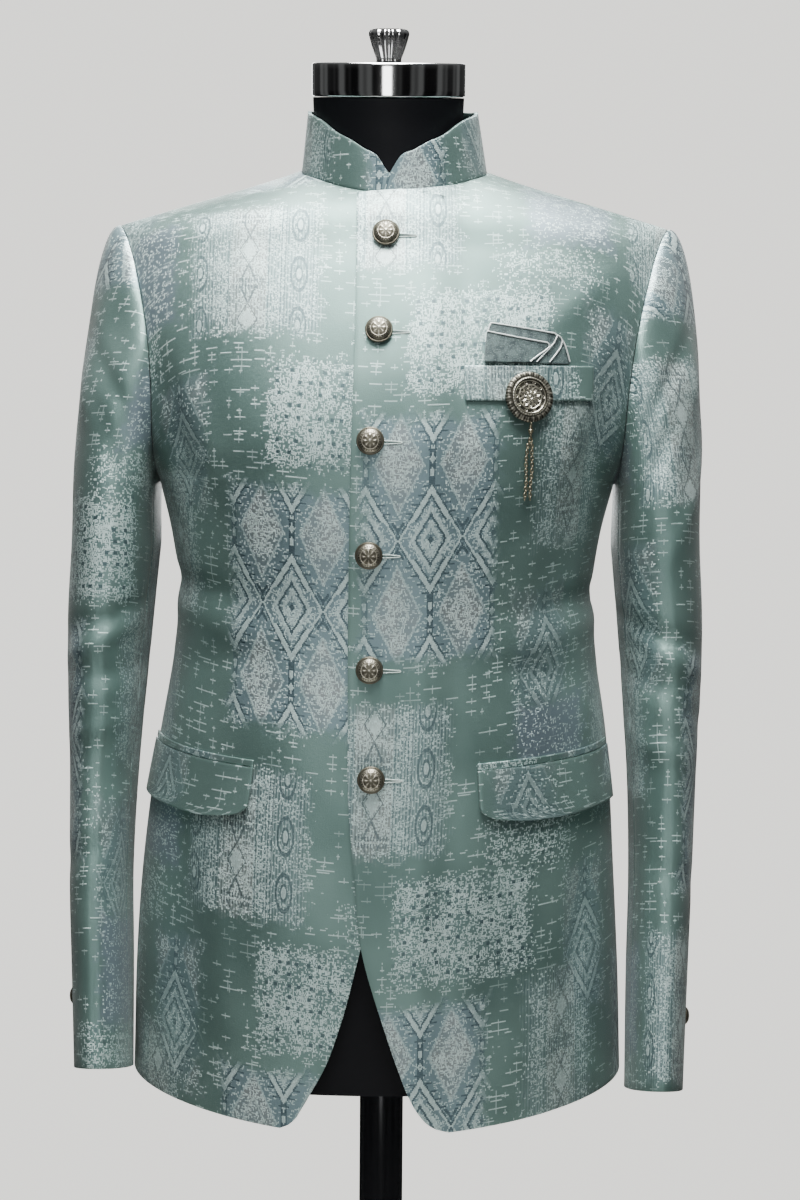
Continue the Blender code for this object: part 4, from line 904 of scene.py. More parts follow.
def body_panel(name):
    """One front or back on the +X half, before it is trimmed at its seams."""
    side = name.split("_")[0]
    columns = FRONT_FINE if side == "front" else BACK_FINE
    if side not in PLACES:
        PLACES[side] = row_places(side)
    edge = {"front_left": "top_x", "front_right": "under_x"}.get(name)
    sign = -1 if side == "front" else 1
    samples = np.linspace(0, 1, SHARE_SAMPLES)
    points, normals, flat, along = [], [], [], None
    before = None
    for kind, value in PLACES[side]:
        row = row_at(side, kind, value)
        gap = 0.002 if kind == "height" else 0.6
        turn = 1 if kind == "height" else -1
        higher = row_at(side, kind, min(value + gap, UNDERARM) if kind == "height" else value + turn * gap)
        lower = row_at(side, kind, value - turn * gap)
        start = row.neck_share(side) if kind == "angle" else None
        if start is None:
            start = 0.0
            if edge:
                start = 0.05
                for _ in range(6):
                    start = row.share_at(spline(EDGE_TABLE, "height", edge, row.at(start).z))
        line = np.array([tuple(row.at(s)) for s in samples])
        reach = np.concatenate(([0.0], np.cumsum(np.linalg.norm(np.diff(line, axis=0), axis=1))))
        if before is None:
            along = np.full(SHARE_SAMPLES, value)
        else:
            along = along + np.linalg.norm(line - before, axis=1)
        before = line
        shares = start + (1 - start) * np.linspace(0, 1, columns + 1)
        point_line, normal_line = [], []
        for share in shares:
            a, b = max(share - 0.004, -0.98), min(share + 0.004, 1.0)
            over = row.at(b) - row.at(a)
            up = higher.at(share) - lower.at(share)
            normal = over.cross(up).normalized() * (-sign)
            point_line.append(tuple(row.at(share)))
            normal_line.append(tuple(normal))
        points.append(point_line)
        normals.append(normal_line)
        u = np.interp(np.abs(shares), samples, reach) * np.sign(shares)
        flat.append(np.stack((u, np.interp(np.abs(shares), samples, along)), axis=1))
    below = sum(kind == "height" for kind, _ in PLACES[side])
    panel = Panel(np.array(points), np.array(normals), np.array(flat), below)
    if side == "back":
        panel.flat = panel.flat * np.array((-1.0, 1.0))
    if name == "front_left":
        lift = [OVERLAP_LIFT * (1 - smooth(LIFT_FULL_TO, LIFT_ENDS_AT, x)) for x in panel.points[..., 0].ravel()]
        panel.points += panel.normals * np.array(lift).reshape(panel.points.shape[:2])[..., None]
    crease_panel(panel, name)
    return panel


def crease_panel(panel, name):
    """Moves a panel's points along their normals, by its rows of the crease table."""
    x, z = panel.points[..., 0], panel.points[..., 2]
    total = np.zeros(x.shape)
    for row in named(CREASE, CREASE_ROWS):
        if row["panel"] != name:
            continue
        slant = math.radians(row["slant"])
        dx, dz = x - row["x"], z - row["height"]
        along = dx * math.cos(slant) + dz * math.sin(slant)
        across = dz * math.cos(slant) - dx * math.sin(slant)
        total += row["depth"] * np.exp(-((along / row["length"]) ** 2) - (across / row["width"]) ** 2)
    panel.points += panel.normals * total[..., None]


def square_to_seam(panel, border, across, rows):
    """Turns the normals along a seam square to it, so that both walls end parallel."""
    column = 0 if border == "left" else -1
    line = panel.points[:, column] if border != "top" else panel.points[-1]
    found = np.cross(np.gradient(line, axis=0), np.array(across, float))
    found /= np.maximum(np.linalg.norm(found, axis=1), 1e-12)[:, None]
    if border == "top":
        found *= np.sign(np.sum(found * panel.normals[-1], axis=1))[:, None]
        panel.normals[-1] = found
    else:
        found *= np.sign(np.sum(found * panel.normals[:, column], axis=1))[:, None]
        panel.normals[rows, column] = found[rows]


def pull_in(panel, border, rows=slice(None)):
    """Draws a border back into its panel by half the seam's gap."""
    p = panel.points
    edge, beside = {
        "left": (p[rows, 0], p[rows, 1]),
        "right": (p[rows, -1], p[rows, -2]),
        "top": (p[-1], p[-2]),
    }[border]
    step = beside - edge
    step /= np.maximum(np.linalg.norm(step, axis=1), 1e-9)[:, None]
    edge += step * (SEAM / 2)


def leaned(points):
    shifted = points.copy()
    heights = points[..., 2].ravel()
    table = np.linspace(heights.min(), heights.max(), 240)
    shifts = np.interp(heights, table, [lean(h) for h in table])
    shifted[..., 0] += shifts.reshape(points.shape[:2])
    return shifted


def wall_object(name, points, normals, flat, thickness, materials, round_edge=EDGE_ROUND, segments=2):
    """A closed cloth wall: the outer grid, its copy moved in, and the edges between, with a flat map in metres."""
    rows, columns = points.shape[:2]
    outer = points.reshape(-1, 3)
    inner = outer - normals.reshape(-1, 3) * thickness
    count = rows * columns
    places = np.concatenate((outer, inner))
    index = np.arange(count).reshape(rows, columns)
    a, b, c, d = index[:-1, :-1], index[:-1, 1:], index[1:, 1:], index[1:, :-1]
    front = np.stack((a, b, c, d), axis=-1).reshape(-1, 4)
    back = np.stack((a, d, c, b), axis=-1).reshape(-1, 4) + count
    border = np.concatenate((index[0, :-1], index[:-1, -1], index[-1, :0:-1], index[:0:-1, 0]))
    after = np.roll(border, -1)
    edges = np.stack((border, border + count, after + count, after), axis=-1)
    faces = np.concatenate((front, back, edges))
    mesh = bpy.data.meshes.new(name)
    mesh.from_pydata(places.tolist(), [], faces.tolist())
    for material in materials:
        mesh.materials.append(material)
    kinds = np.zeros(len(faces), dtype=np.int32)
    kinds[len(front) : len(front) + len(back)] = len(materials) - 1
    mesh.polygons.foreach_set("material_index", kinds)
    layer = mesh.uv_layers.new(name="cloth")
    doubled = np.concatenate((flat.reshape(-1, 2), flat.reshape(-1, 2)))
    layer.data.foreach_set("uv", doubled[faces.ravel()].ravel())
    mesh.polygons.foreach_set("use_smooth", np.ones(len(faces), dtype=bool))
    thing = bpy.data.objects.new(name, mesh)
    bpy.context.scene.collection.objects.link(thing)
    work = bmesh.new()
    work.from_mesh(mesh)
    if work.calc_volume(signed=True) < 0:
        bmesh.ops.reverse_faces(work, faces=work.faces)
        work.to_mesh(mesh)
    work.free()
    bevel = thing.modifiers.new("rounded edges", "BEVEL")
    bevel.width = round_edge
    bevel.segments = segments
    bevel.limit_method = "ANGLE"
    bevel.angle_limit = math.radians(50)
    return thing


def flat_area(flat):
    a, c = flat[:-1, :-1], flat[1:, 1:]
    b, d = flat[:-1, 1:], flat[1:, :-1]
    cross = (c - a)[..., 0] * (d - b)[..., 1] - (c - a)[..., 1] * (d - b)[..., 0]
    return abs(float(np.sum(cross))) / 2


def dress(thing, node, body="garment"):
    """Rides a piece on its body and hides the solid that it stands for."""
    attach(thing, body)
    if node:
        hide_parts(node)
    return thing


def declare_sheet(flat):
    size = flat.reshape(-1, 2).max(axis=0) - flat.reshape(-1, 2).min(axis=0)
    area = min(flat_area(flat), float(size[0] * size[1]))


def cloth(node, points, normals, flat, thickness, held, round_edge=EDGE_ROUND):
    """A cloth piece that stands for one node, with its lining side. Unless held is None, its flat map's size and area
    are worked out and not used.
    """
    materials = (MATERIALS["brocade"], MATERIALS["lining"])
    thing = wall_object(node + "_cloth", points, normals, flat, thickness, materials, round_edge)
    dress(thing, node)
    if held:
        declare_sheet(flat)
    return thing


def place_pattern(flat, points, x, height):
    """Shifts a flat map so that the repeat's middle lands at the given place."""
    away = np.hypot(points[..., 0] - x, points[..., 2] - height)
    i, j = np.unravel_index(np.argmin(away), away.shape)
    return flat - flat[i, j]


def build_body():
    surfaces = {}
    for name in ("front_left", "front_right", "back_left", "back_right"):
        panel = body_panel(name)
        panel.flat = place_pattern(panel.flat, panel.points, *CLOTH_PLACE[name])
        surfaces[name] = Panel(panel.points.copy(), panel.normals.copy(), panel.flat.copy(), panel.below)
        lower = slice(0, panel.below + 1)
        square_to_seam(panel, "right", (0, 1, 0), lower)
        square_to_seam(panel, "top", (0, 1, 0), None)
        if name.startswith("back"):
            centre = panel.points[:, 0, 0] < 0.001
            square_to_seam(panel, "left", (1, 0, 0), centre)
            panel.points[centre, 0, 0] += SEAM / 2
        pull_in(panel, "right", lower)
        pull_in(panel, "top")
        if name.endswith("right"):
            panel = panel.mirrored()
        held = "draped" if name.startswith("back") else None
        cloth(name, leaned(panel.points), panel.normals, panel.flat, BODY_WALL, held)
    return surfaces


def ring_point(angle, height, side):
    a = math.radians(angle)
    power = 2 / SLEEVE_SQUARE
    c, s = math.cos(a), math.sin(a)
    x = spline(SLEEVE_TABLE, "height", "x", height) + spline(
        SLEEVE_TABLE, "height", "half_x", height
    ) * math.copysign(abs(c) ** power, c)
    y = spline(SLEEVE_TABLE, "height", "y", height) - spline(
        SLEEVE_TABLE, "height", "half_y", height
    ) * math.copysign(abs(s) ** power, s)
    top, foot = SLEEVE_LEVELS[0], SLEEVE_LEVELS[-1]
    down = (top - height) / (top - foot)
    slant = CUFF_SLANT * (spline(SLEEVE_TABLE, "height", "y", height) - y) * smooth(0.75, 1.0, down)
    return Vector((x, y, height + slant + CUFF_UP[side] * down))


def fold_depth(angle, height, side, girth):
    """How far the cloth lies in at a place of the sleeve, girth being the metres that one turn takes."""
    total = 0.0
    for fold in FOLD_TABLE:
        across = (angle - fold["angle"] + 180) % 360 - 180
        up = height - fold["height"]
        total += fold["depth"] * math.exp(-((across / fold["angle_reach"]) ** 2) - (up / fold["height_reach"]) ** 2)
    for row in RUMPLE_TABLE:
        if row["side"] != side:
            continue
        dx = ((angle - row["angle"] + 180) % 360 - 180) / 360 * girth
        dz = height - row["height"]
        slant = math.radians(row["slant"])
        along = dx * math.cos(slant) + dz * math.sin(slant)
        across = dz * math.cos(slant) - dx * math.sin(slant)
        total -= row["depth"] * math.exp(-((along / row["length"]) ** 2) - (across / row["width"]) ** 2)
    return total


RUMPLE_TABLE = named(RUMPLE, RUMPLE_ROWS)
SLEEVE_PLACE = {1: (15, 1.060), -1: (15, 1.081)}


def sleeve_panel(side):
    """The whole sleeve as rings from the armhole to the cuff, on the +X half. Its first column comes again last."""
    fore, hind = FOREARM_SEAM, HINDARM_SEAM
    angles = steps(0, fore, SLEEVE_ANGLE_STEP) + steps(fore, hind, SLEEVE_ANGLE_STEP)
    angles += steps(hind, 360, SLEEVE_ANGLE_STEP) + [360.0]
    rings = []
    for k in range(SLEEVE_CAP_RINGS):
        t = (k / SLEEVE_CAP_RINGS) ** 1.25
        ring = []
        for angle in angles:
            a = math.radians(angle)
            start = armhole(angle) + Vector((SEAM + 0.0001, 0, 0))
            end = ring_point(angle, SLEEVE_LEVELS[0], side)
            out = Vector((0.58 + 0.42 * math.cos(a), -0.35 * math.sin(a), -0.30 + 0.50 * math.cos(a))).normalized()
            down = Vector((0.02, -0.03, -1)).normalized()
            reach = (end - start).length
            p = (2 * t**3 - 3 * t**2 + 1) * start + (3 * t**2 - 2 * t**3) * end
            p += (t**3 - 2 * t**2 + t) * (0.052 + 0.030 * math.cos(a)) * out
            p += (t**3 - t**2) * 0.9 * reach * down
            ring.append(tuple(p))
        rings.append(ring)
    heights = steps(SLEEVE_LEVELS[0], SLEEVE_LEVELS[-1], SLEEVE_RING_STEP) + [SLEEVE_LEVELS[-1]]
    rings += [[tuple(ring_point(angle, height, side)) for angle in angles] for height in heights]
    points = np.array(rings)
    wrapped = np.concatenate((points[:, -2:-1], points, points[:, 1:2]), axis=1)
    over = (wrapped[:, 2:] - wrapped[:, :-2])
    normals = np.cross(over, np.gradient(points, axis=0))
    normals /= np.linalg.norm(normals, axis=2)[..., None]
    if np.dot(points[-1, 0] - points[-1].mean(axis=0), normals[-1, 0]) < 0:
        normals = -normals
    first = normals[0] * np.array((0.0, 1.0, 1.0))
    normals[0] = first / np.linalg.norm(first, axis=1)[:, None]
    girths = np.sum(np.linalg.norm(np.diff(points, axis=1), axis=2), axis=1)
    count = len(rings)
    for i in range(count):
        fade = smooth(0, SLEEVE_CAP_RINGS * 0.42, i)
        ease = math.exp(-(((i - 5) / 5) ** 2))
        for j, angle in enumerate(angles):
            depth = fold_depth(angle, points[i, j, 2], side, girths[i]) * fade
            near_top = 0.5 + 0.5 * math.cos(math.radians(angle))
            depth += PUCKER_DEPTH * near_top * ease * math.sin(PUCKERS * 2 * math.pi * angle / 360 + 2.0 * math.sin(angle / 23))
            points[i, j] -= normals[i, j] * depth
    across = np.concatenate((np.zeros((count, 1)), np.cumsum(np.linalg.norm(np.diff(points, axis=1), axis=2), axis=1)), axis=1)
    across = across / across[:, -1:] * np.median(across[:, -1])
    down = np.linalg.norm(np.diff(points, axis=0), axis=2)
    down = np.concatenate((np.zeros((1, len(angles))), np.cumsum(down, axis=0)))
    down = -down + down[-1] - 0.0
    flat = np.stack((-across, down), axis=-1)
    column, height = SLEEVE_PLACE[side]
    j = int(np.argmin(np.abs(np.array(angles) - column)))
    i = int(np.argmin(np.abs(points[:, j, 2] - height)))
    flat = flat - flat[i, j]
    return Panel(points, normals, flat, 0), np.array(angles)


def build_sleeve(side, word):
    whole, angles = sleeve_panel(side)
    fore = int(np.argmin(np.abs(angles - FOREARM_SEAM)))
    hind = int(np.argmin(np.abs(angles - HINDARM_SEAM)))
    last = len(angles) - 1
    halves = {
        "sleeve_under": list(range(fore, hind + 1)),
        "sleeve_top": list(range(hind, last)) + list(range(0, fore + 1)),
    }
    turn_width = whole.flat[0, -1] - whole.flat[0, 0]
    for name, columns in halves.items():
        flat = whole.flat[:, columns].copy()
        if name == "sleeve_top":
            flat[:, : last - hind] -= turn_width
        panel = Panel(whole.points[:, columns].copy(), whole.normals[:, columns].copy(), flat, 0)
        pull_in(panel, "left")
        pull_in(panel, "right")
        if side < 0:
            panel = panel.mirrored()
        heights = panel.points[..., 2]
        above = np.maximum(heights, 1.10)
        table = np.linspace(1.10, 1.60, 120)
        panel.points[..., 0] += np.interp(above, table, [lean(h) for h in table])
        t = np.clip((heights - 0.94) / (1.10 - 0.94), 0, 1)
        panel.points[..., 0] += SLEEVE_SHIFT[side] * (1 - t * t * (3 - 2 * t))
        node = f"{name}_{word}"
        cloth(node, panel.points, panel.normals, panel.flat, SLEEVE_WALL, "hung")
    return whole, angles


def neck_points():
    """The seam round the neck on the +X half, from the centre front to the centre back."""
    lines = []
    for side in ("front", "back"):
        rows = [row_at(side, kind, value) for kind, value in PLACES[side] if kind == "angle"]
        inside = [row for row in rows if row.neck_share(side) is not None]
        start = [rows[-len(inside) - 1].at(0.0)]
        lines.append(start + [row.at(row.neck_share(side)) for row in inside])
    return lines[0] + lines[1][-2::-1]


def neck_angle(p):
    """How far round the neck a point lies: 0 at the centre front, 180 at the centre back."""
    depth = NECK_FRONT if p.y < NECK_Y else NECK_BACK
    return math.degrees(math.atan2(p.x / NECK_HALF_WIDTH, (NECK_Y - p.y) / depth))


def build_collar():
    """A band standing round the neck, whose two rounded front ends meet near the centre."""
    seam = neck_points()
    half = []
    for p, q in zip(seam, seam[1:]):
        parts = max(1, math.ceil((q - p).length / 0.0022))
        half += [p.lerp(q, k / parts) for k in range(parts)]
    half.append(seam[-1])
    near = COLLAR_NEAREST / 4
    other = [p for p in half[:-1] if -p.x < COLLAR_MEETS_AT - near]
    line = [Vector((COLLAR_MEETS_AT + SEAM / 2, half[0].y, half[0].z))] + half
    line += [Vector((-p.x, p.y, p.z)) for p in reversed(other)]
    line += [Vector((COLLAR_MEETS_AT - SEAM / 2, half[0].y, half[0].z))]
    tall = max(row["height"] for row in COLLAR_TABLE)
    meets = math.degrees(COLLAR_MEETS_AT / NECK_HALF_WIDTH)
    shares = np.linspace(0, 1, 15)
    columns = []
    for foot in line:
        angle = neck_angle(Vector((abs(foot.x), foot.y, foot.z)))
        a = math.copysign(math.radians(angle), foot.x)
        rise = spline(COLLAR_TABLE, "angle", "height", abs(math.degrees(a) - meets))
        depth = COLLAR_TOP_FRONT if angle < 90 else COLLAR_TOP_BACK
        crown = Vector((COLLAR_TOP_HALF_WIDTH * math.sin(a), COLLAR_TOP_Y - depth * math.cos(a), foot.z))
        inward = Vector((-foot.x, NECK_Y - foot.y, 0)).normalized()
        foot = foot + inward * TOUCH + Vector((0, 0, SEAM))
        lap = COLLAR_LAP * (1 - smooth(0, 12, angle))
        column = []
        for share in shares:
            up = rise * share
            p = foot.lerp(crown, up / tall)
            column.append((p.x - lap * (1 - share), p.y, foot.z + up))
        columns.append(column)
    points = np.array(columns).transpose(1, 0, 2)
    over = np.gradient(points, axis=1)
    normals = np.stack((over[..., 1], -over[..., 0], np.zeros(over.shape[:2])), axis=-1)
    normals /= np.linalg.norm(normals, axis=2)[..., None]
    away = points - np.array((0.0, NECK_Y, 0.0))
    normals *= np.sign(np.sum(normals[..., :2] * away[..., :2], axis=2))[..., None]
    run = np.cumsum(np.linalg.norm(np.diff(points[0], axis=0), axis=1))
    u = np.concatenate(([0.0], run))
    flat = np.stack(np.broadcast_arrays(-u[None, :], points[..., 2] - points[0, 0, 2] + 0.05), axis=-1)
    cloth("collar", leaned(points), normals, flat, COLLAR_WALL, "draped", 0.0009)


def as_lists(panel):
    """A panel as rows of vectors, for the functions that look places up on it."""
    return [[[Vector(p) for p in row] for row in grid] for grid in (panel.points, panel.normals)]


def panel_point(surface, across, height):
    """The point and normal of a panel at a share of its width and a height."""
    grid, normals = surface
    last = len(grid[0]) - 1
    j = min(int(across * last), last - 1)
    t = across * last - j
    low, high = 0, len(grid) - 1
    while high - low > 1:
        middle = (low + high) // 2
        if grid[middle][j].z * (1 - t) + grid[middle][j + 1].z * t > height:
            high = middle
        else:
            low = middle
    a, b = (grid[k][j].lerp(grid[k][j + 1], t) for k in (low, low + 1))
    s = (height - a.z) / (b.z - a.z)
    n, m = (normals[k][j].lerp(normals[k][j + 1], t) for k in (low, low + 1))
    return a.lerp(b, s), n.lerp(m, s).normalized()


def share_across(surface, x, height):
    low, high = 0.0, 1.0
    for _ in range(40):
        middle = (low + high) / 2
        if panel_point(surface, middle, height)[0].x < x:
            low = middle
        else:
            high = middle
    return low


def patch(surface, x_range, top, depth, lift, lower_lift, corner=0.0, above=0.0, columns=56, rows=22):
    """A piece that lies on a panel: a grid made from the panel's points, moved out.

    top is the height of its upper edge at each end of x_range, and above how much higher the whole piece lies.
    corner rounds the lower inner corner.
    """
    first, last = (share_across(surface, x, z) for x, z in zip(x_range, top))
    width = x_range[1] - x_range[0]
    points, normals, flat = [], [], []
    for i in range(rows + 1):
        down = 1 - i / rows
        line, normal_line, flat_line = [], [], []
        for k in range(columns + 1):
            across = k / columns
            share = first + (last - first) * across
            drop = depth * down
            if corner:
                inset = corner * max(0.0, down - 1 + corner / depth) / (corner / depth)
                bend = corner - math.sqrt(max(0.0, corner**2 - inset**2))
                share += bend / width * (last - first) * (1 - across) ** 2
                drop -= 0.30 * corner * down**3 * (1 - across) ** 6
            z = top[0] + (top[1] - top[0]) * across + above - drop
            p, n = panel_point(surface, share, z)
            line.append(tuple(p + n * (lift + (lower_lift - lift) * down)))
            normal_line.append(tuple(n))
            flat_line.append((0.0, -drop))
        points.append(line)
        normals.append(normal_line)
        flat.append(flat_line)
    points, flat = np.array(points), np.array(flat)
    flat[:, 1:, 0] = np.cumsum(np.linalg.norm(np.diff(points, axis=1), axis=2), axis=1)
    return Panel(points, np.array(normals), flat, 0)


def add_patch(node, panel, thickness, side, origin, held="laid", round_edge=EDGE_ROUND):
    panel.flat = panel.flat + np.array(origin)
    if side < 0:
        panel = panel.mirrored()
    return cloth(node, leaned(panel.points), panel.normals, panel.flat, thickness, held, round_edge)


def build_pockets(lists, surfaces):
    """Flaps, jets and the chest welt. A jet is sewn to its front."""
    for side, word in ((1, "left"), (-1, "right")):
        surface = lists[f"front_{word}"]
        clear = FLAP_WALL + ON_PANEL
        flap = patch(surface, FLAP_X[side], FLAP_TOP[side], FLAP_DEPTH, clear, clear + 0.0020, FLAP_CORNER)
        add_patch(f"flap_{word}", flap, FLAP_WALL, side, (0.060, -0.07), "laid", 0.0009)
        lift = JET_WALL + ON_PANEL
        jet = patch(surface, FLAP_X[side], FLAP_TOP[side], JET_DEPTH, lift, lift, above=JET_DEPTH + SEAM, rows=6)
        strip = add_patch(f"pocket_jet_{word}", jet, JET_WALL, side, (0.045, 0.16), None, 0.0008)
        declare_sheet(surfaces[f"front_{word}"].flat)
    lift = WELT_WALL + ON_PANEL
    welt = patch(lists["front_left"], WELT_X, WELT_TOP, WELT_DEPTH, lift, lift, rows=14)
    add_patch("chest_welt", welt, WELT_WALL, 1, (-0.075, -0.17), "laid", 0.0008)


class Shape:
    """Collects points and faces for one mesh, with a height value that the metal's finish reads."""

    def __init__(self):
        self.points = []
        self.faces = []
        self.heights = []

    def add(self, points, faces, heights=None):
        start = len(self.points)
        self.points += [tuple(p) for p in points]
        self.faces += [tuple(k + start for k in face) for face in faces]
        self.heights += list(heights) if heights is not None else [0.7] * len(points)

    def tube(self, path, radius, sides=8, closed=False, height=0.85, up=None):
        """A round wire along a path. radius is a number, or one for each point of the path."""
        count = len(path)
        radii = radius if hasattr(radius, "__len__") else [radius] * count
        points, faces = [], []
        side = None
        for k, p in enumerate(path):
            before = path[k - 1] if (closed or k) else p
            after = path[(k + 1) % count] if (closed or k < count - 1) else p
            run = (after - before).normalized()
            if side is None:
                guide = up or (Vector((0, 0, 1)) if abs(run.z) < 0.9 else Vector((1, 0, 0)))
                side = run.cross(guide).normalized()
            side = (side - run * side.dot(run)).normalized()
            top = side.cross(run)
            for m in range(sides):
                a = 2 * math.pi * m / sides
                points.append(p + (side * math.cos(a) + top * math.sin(a)) * radii[k])
        for k in range(count if closed else count - 1):
            for m in range(sides):
                a, b = k * sides + m, k * sides + (m + 1) % sides
                c, d = ((k + 1) % count) * sides + (m + 1) % sides, ((k + 1) % count) * sides + m
                faces.append((a, b, c, d))
        if not closed:
            faces.append(tuple(range(sides - 1, -1, -1)))
            faces.append(tuple((count - 1) * sides + m for m in range(sides)))
        self.add(points, faces, [height] * len(points))

    def turn(self, profile, place, axis, turns=64, figure=None, lobes=0, lobe=0.0):
        """A solid of revolution from (radius, height) pairs. figure gives a relief for a radius and an angle."""
        spin = Vector((0, 0, 1)).rotation_difference(Vector(axis)).to_matrix()
        points, faces, heights = [], [], []
        for radius, height in profile:
            for k in range(turns):
                a = 2 * math.pi * k / turns
                raised = figure(radius, a) if figure else 0.0
                r = radius * (1 + lobe * math.cos(lobes * a))
                points.append(Vector(place) + spin @ Vector((r * math.cos(a), r * math.sin(a), height + raised)))
                heights.append(raised)
        for i in range(len(profile) - 1):
            for k in range(turns):
                a, b = i * turns + k, i * turns + (k + 1) % turns
                faces.append((a, b, b + turns, a + turns))
        last = (len(profile) - 1) * turns
        faces.append(tuple(range(turns - 1, -1, -1)))
        faces.append(tuple(last + k for k in range(turns)))
        low, high = min(heights), max(heights)
        spread = max(high - low, 1e-9)
        self.add(points, faces, [(h - low) / spread if figure else 0.8 for h in heights])

    def finish(self, name, material, sharp=35):
        mesh = bpy.data.meshes.new(name)
        mesh.from_pydata(self.points, [], self.faces)
        mesh.materials.append(material)
        layer = mesh.attributes.new("height", "FLOAT", "POINT")
        layer.data.foreach_set("value", self.heights)
        mesh.shade_smooth()
        mesh.set_sharp_from_angle(angle=math.radians(sharp))
        thing = bpy.data.objects.new(name, mesh)
        bpy.context.scene.collection.objects.link(thing)
        return thing


def refined(profile, step):
    """A profile with points added so that none are further apart than step."""
    result = []
    for (r0, h0), (r1, h1) in zip(profile, profile[1:]):
        parts = max(1, math.ceil(math.hypot(r1 - r0, h1 - h0) / step))
        result += [(r0 + (r1 - r0) * k / parts, h0 + (h1 - h0) * k / parts) for k in range(parts)]
    return result + [profile[-1]]


def bell(value, middle, width):
    return math.exp(-(((value - middle) / width) ** 2))


def on_front(lists, x, z):
    """A point and normal on the wearer's left front at a world x, with the lean added."""
    surface = lists["front_left"]
    p, n = panel_point(surface, share_across(surface, x - lean(z), z), z)
    return p + Vector((lean(p.z), 0, 0)), n


BUTTON_DOME = (
    (0.28, 0.0),
    (0.28, 0.20),
    (0.88, 0.205),
    (0.97, 0.25),
    (1.0, 0.32),
    (0.98, 0.38),
    (0.93, 0.41),
    (0.885, 0.40),
    (0.84, 0.47),
    (0.74, 0.58),
    (0.60, 0.67),
    (0.42, 0.74),
    (0.22, 0.775),
    (0.03, 0.785),
)


def button_figure(share, angle):
    """A generic raised flower: eight petals round a boss, in a ring of dots."""
    petals = bell(share, 0.40, 0.16) * (0.5 + 0.5 * math.cos(8 * angle))
    veins = bell(share, 0.34, 0.13) * (0.5 + 0.5 * math.cos(16 * angle + math.pi)) * 0.5
    boss = bell(share, 0.0, 0.10) * 1.2
    dots = bell(share, 0.70, 0.035) * (0.5 + 0.5 * math.cos(24 * angle))
    ring = bell(share, 0.60, 0.020) * 0.7 + bell(share, 0.79, 0.020) * 0.6
    return petals + boss + dots + ring - veins


CUFF_SHANK = 0.0024


def make_button(node, place, axis, radius, shank=0.0):
    profile = refined([(r * radius, h * radius + (shank if h else 0.0)) for r, h in BUTTON_DOME], radius * 0.045)
    relief = 0.030 * radius

    def figure(r, angle):
        share = r / radius
        return button_figure(share, angle) * relief

    shape = Shape()
    dome = [p for p in profile]
    shape.turn(dome, place, axis, 80, lambda r, a: figure(r, a) if r < radius * 0.84 else 0.0)
    thing = shape.finish(node + "_detail", MATERIALS["antique"])
    dress(thing, node)


def build_buttons(lists, sleeves):
    for k, row in enumerate(named(BUTTON, BUTTON_ROWS)):
        p, n = on_front(lists, row["x"], row["height"])
        make_button(f"button_{k + 1}", p + n * TOUCH, n, BUTTON_RADIUS)
        build_buttonhole(lists, k + 1, row["x"], row["height"])
    for side, word in ((1, "left"), (-1, "right")):
        low, high = (Vector(v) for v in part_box(f"cuff_button_{word}"))
        centre = (low + high) / 2
        whole, _ = sleeves[side]
        shift = SLEEVE_SHIFT[side] + lean(1.10)
        target = np.array(((centre.x - shift) * side, centre.y, centre.z))
        away = np.linalg.norm(whole.points - target, axis=2)
        i, j = np.unravel_index(np.argmin(away), away.shape)
        p, n = Vector(whole.points[i, j]), Vector(whole.normals[i, j])
        p.x, n.x = p.x * side + shift, n.x * side
        if (centre - p).dot(n) < 0:
            n = -n
        make_button(f"cuff_button_{word}", p + n * TOUCH, n, BUTTON_RADIUS * 0.82, CUFF_SHANK)


HOLE_START = 0.0075
HOLE_END = 0.0235
HOLE_HALF = 0.0015
HOLE_EYE = 0.0007
STITCH = 0.0011


def build_buttonhole(lists, number, x, z):
    """A worked keyhole that runs from behind the button towards the wearer's left, with a dark tube along its middle
    that is painted shade in the cut.
    """
    path = []
    long = HOLE_END - HOLE_START
    places = [(HOLE_START + long * k / 24, HOLE_HALF * (1 - 0.6 * k / 24)) for k in range(25)]
    places += [(HOLE_END + HOLE_EYE * math.sin(a), HOLE_EYE * math.cos(a)) for a in np.linspace(0.3, math.pi - 0.3, 9)]
    places += [(HOLE_START + long * k / 24, -HOLE_HALF * (1 - 0.6 * k / 24)) for k in range(24, -1, -1)]
    for away, up in places:
        p, n = on_front(lists, x + away, z + up - 0.0010)
        path.append(p + n * 0.0004)
    fine = []
    for p, q in zip(path, path[1:]):
        parts = max(1, round((q - p).length / (STITCH / 6)))
        fine += [p.lerp(q, k / parts) for k in range(parts)]
    radii = [0.00060 * (0.80 + 0.20 * math.cos(2 * math.pi * k / 6)) for k in range(len(fine))]
    shape = Shape()
    shape.tube(fine, radii, 6)
    # A dark tube along the buttonhole's middle: painted shade where the cut opens between its stitched edges.
    slit_shade = Shape()
    cut = [on_front(lists, x + HOLE_START + long * k / 8, z - 0.0010) for k in range(9)]
    slit_shade.tube([p + n * 0.0002 for p, n in cut], 0.00055, 6)
    dress(slit_shade.finish(f"buttonhole_slit_shade_{number}", MATERIALS["slit_shade"], 80), None)
    dress(shape.finish(f"buttonhole_{number}", MATERIALS["thread"], 80), None)


BROOCH_FACE = (
    (0.90, 0.0),
    (0.97, 0.015),
    (1.0, 0.06),
    (0.985, 0.13),
    (0.93, 0.185),
    (0.84, 0.205),
    (0.775, 0.19),
    (0.755, 0.235),
    (0.70, 0.245),
    (0.675, 0.14),
    (0.655, 0.10),
    (0.0, 0.10),
)
PETALS = 10


def brooch_figure(share, angle):
    rim = bell(share, 0.89, 0.07) * (0.35 * math.cos(50 * angle) + 0.35 * math.cos(23 * angle + 1.0))
    edge = bell(share, 0.985, 0.03) * 0.3 * math.cos(50 * angle)
    beads = bell(share, 0.728, 0.022) * (0.5 + 0.5 * math.cos(44 * angle)) * 1.3
    return rim + edge + beads


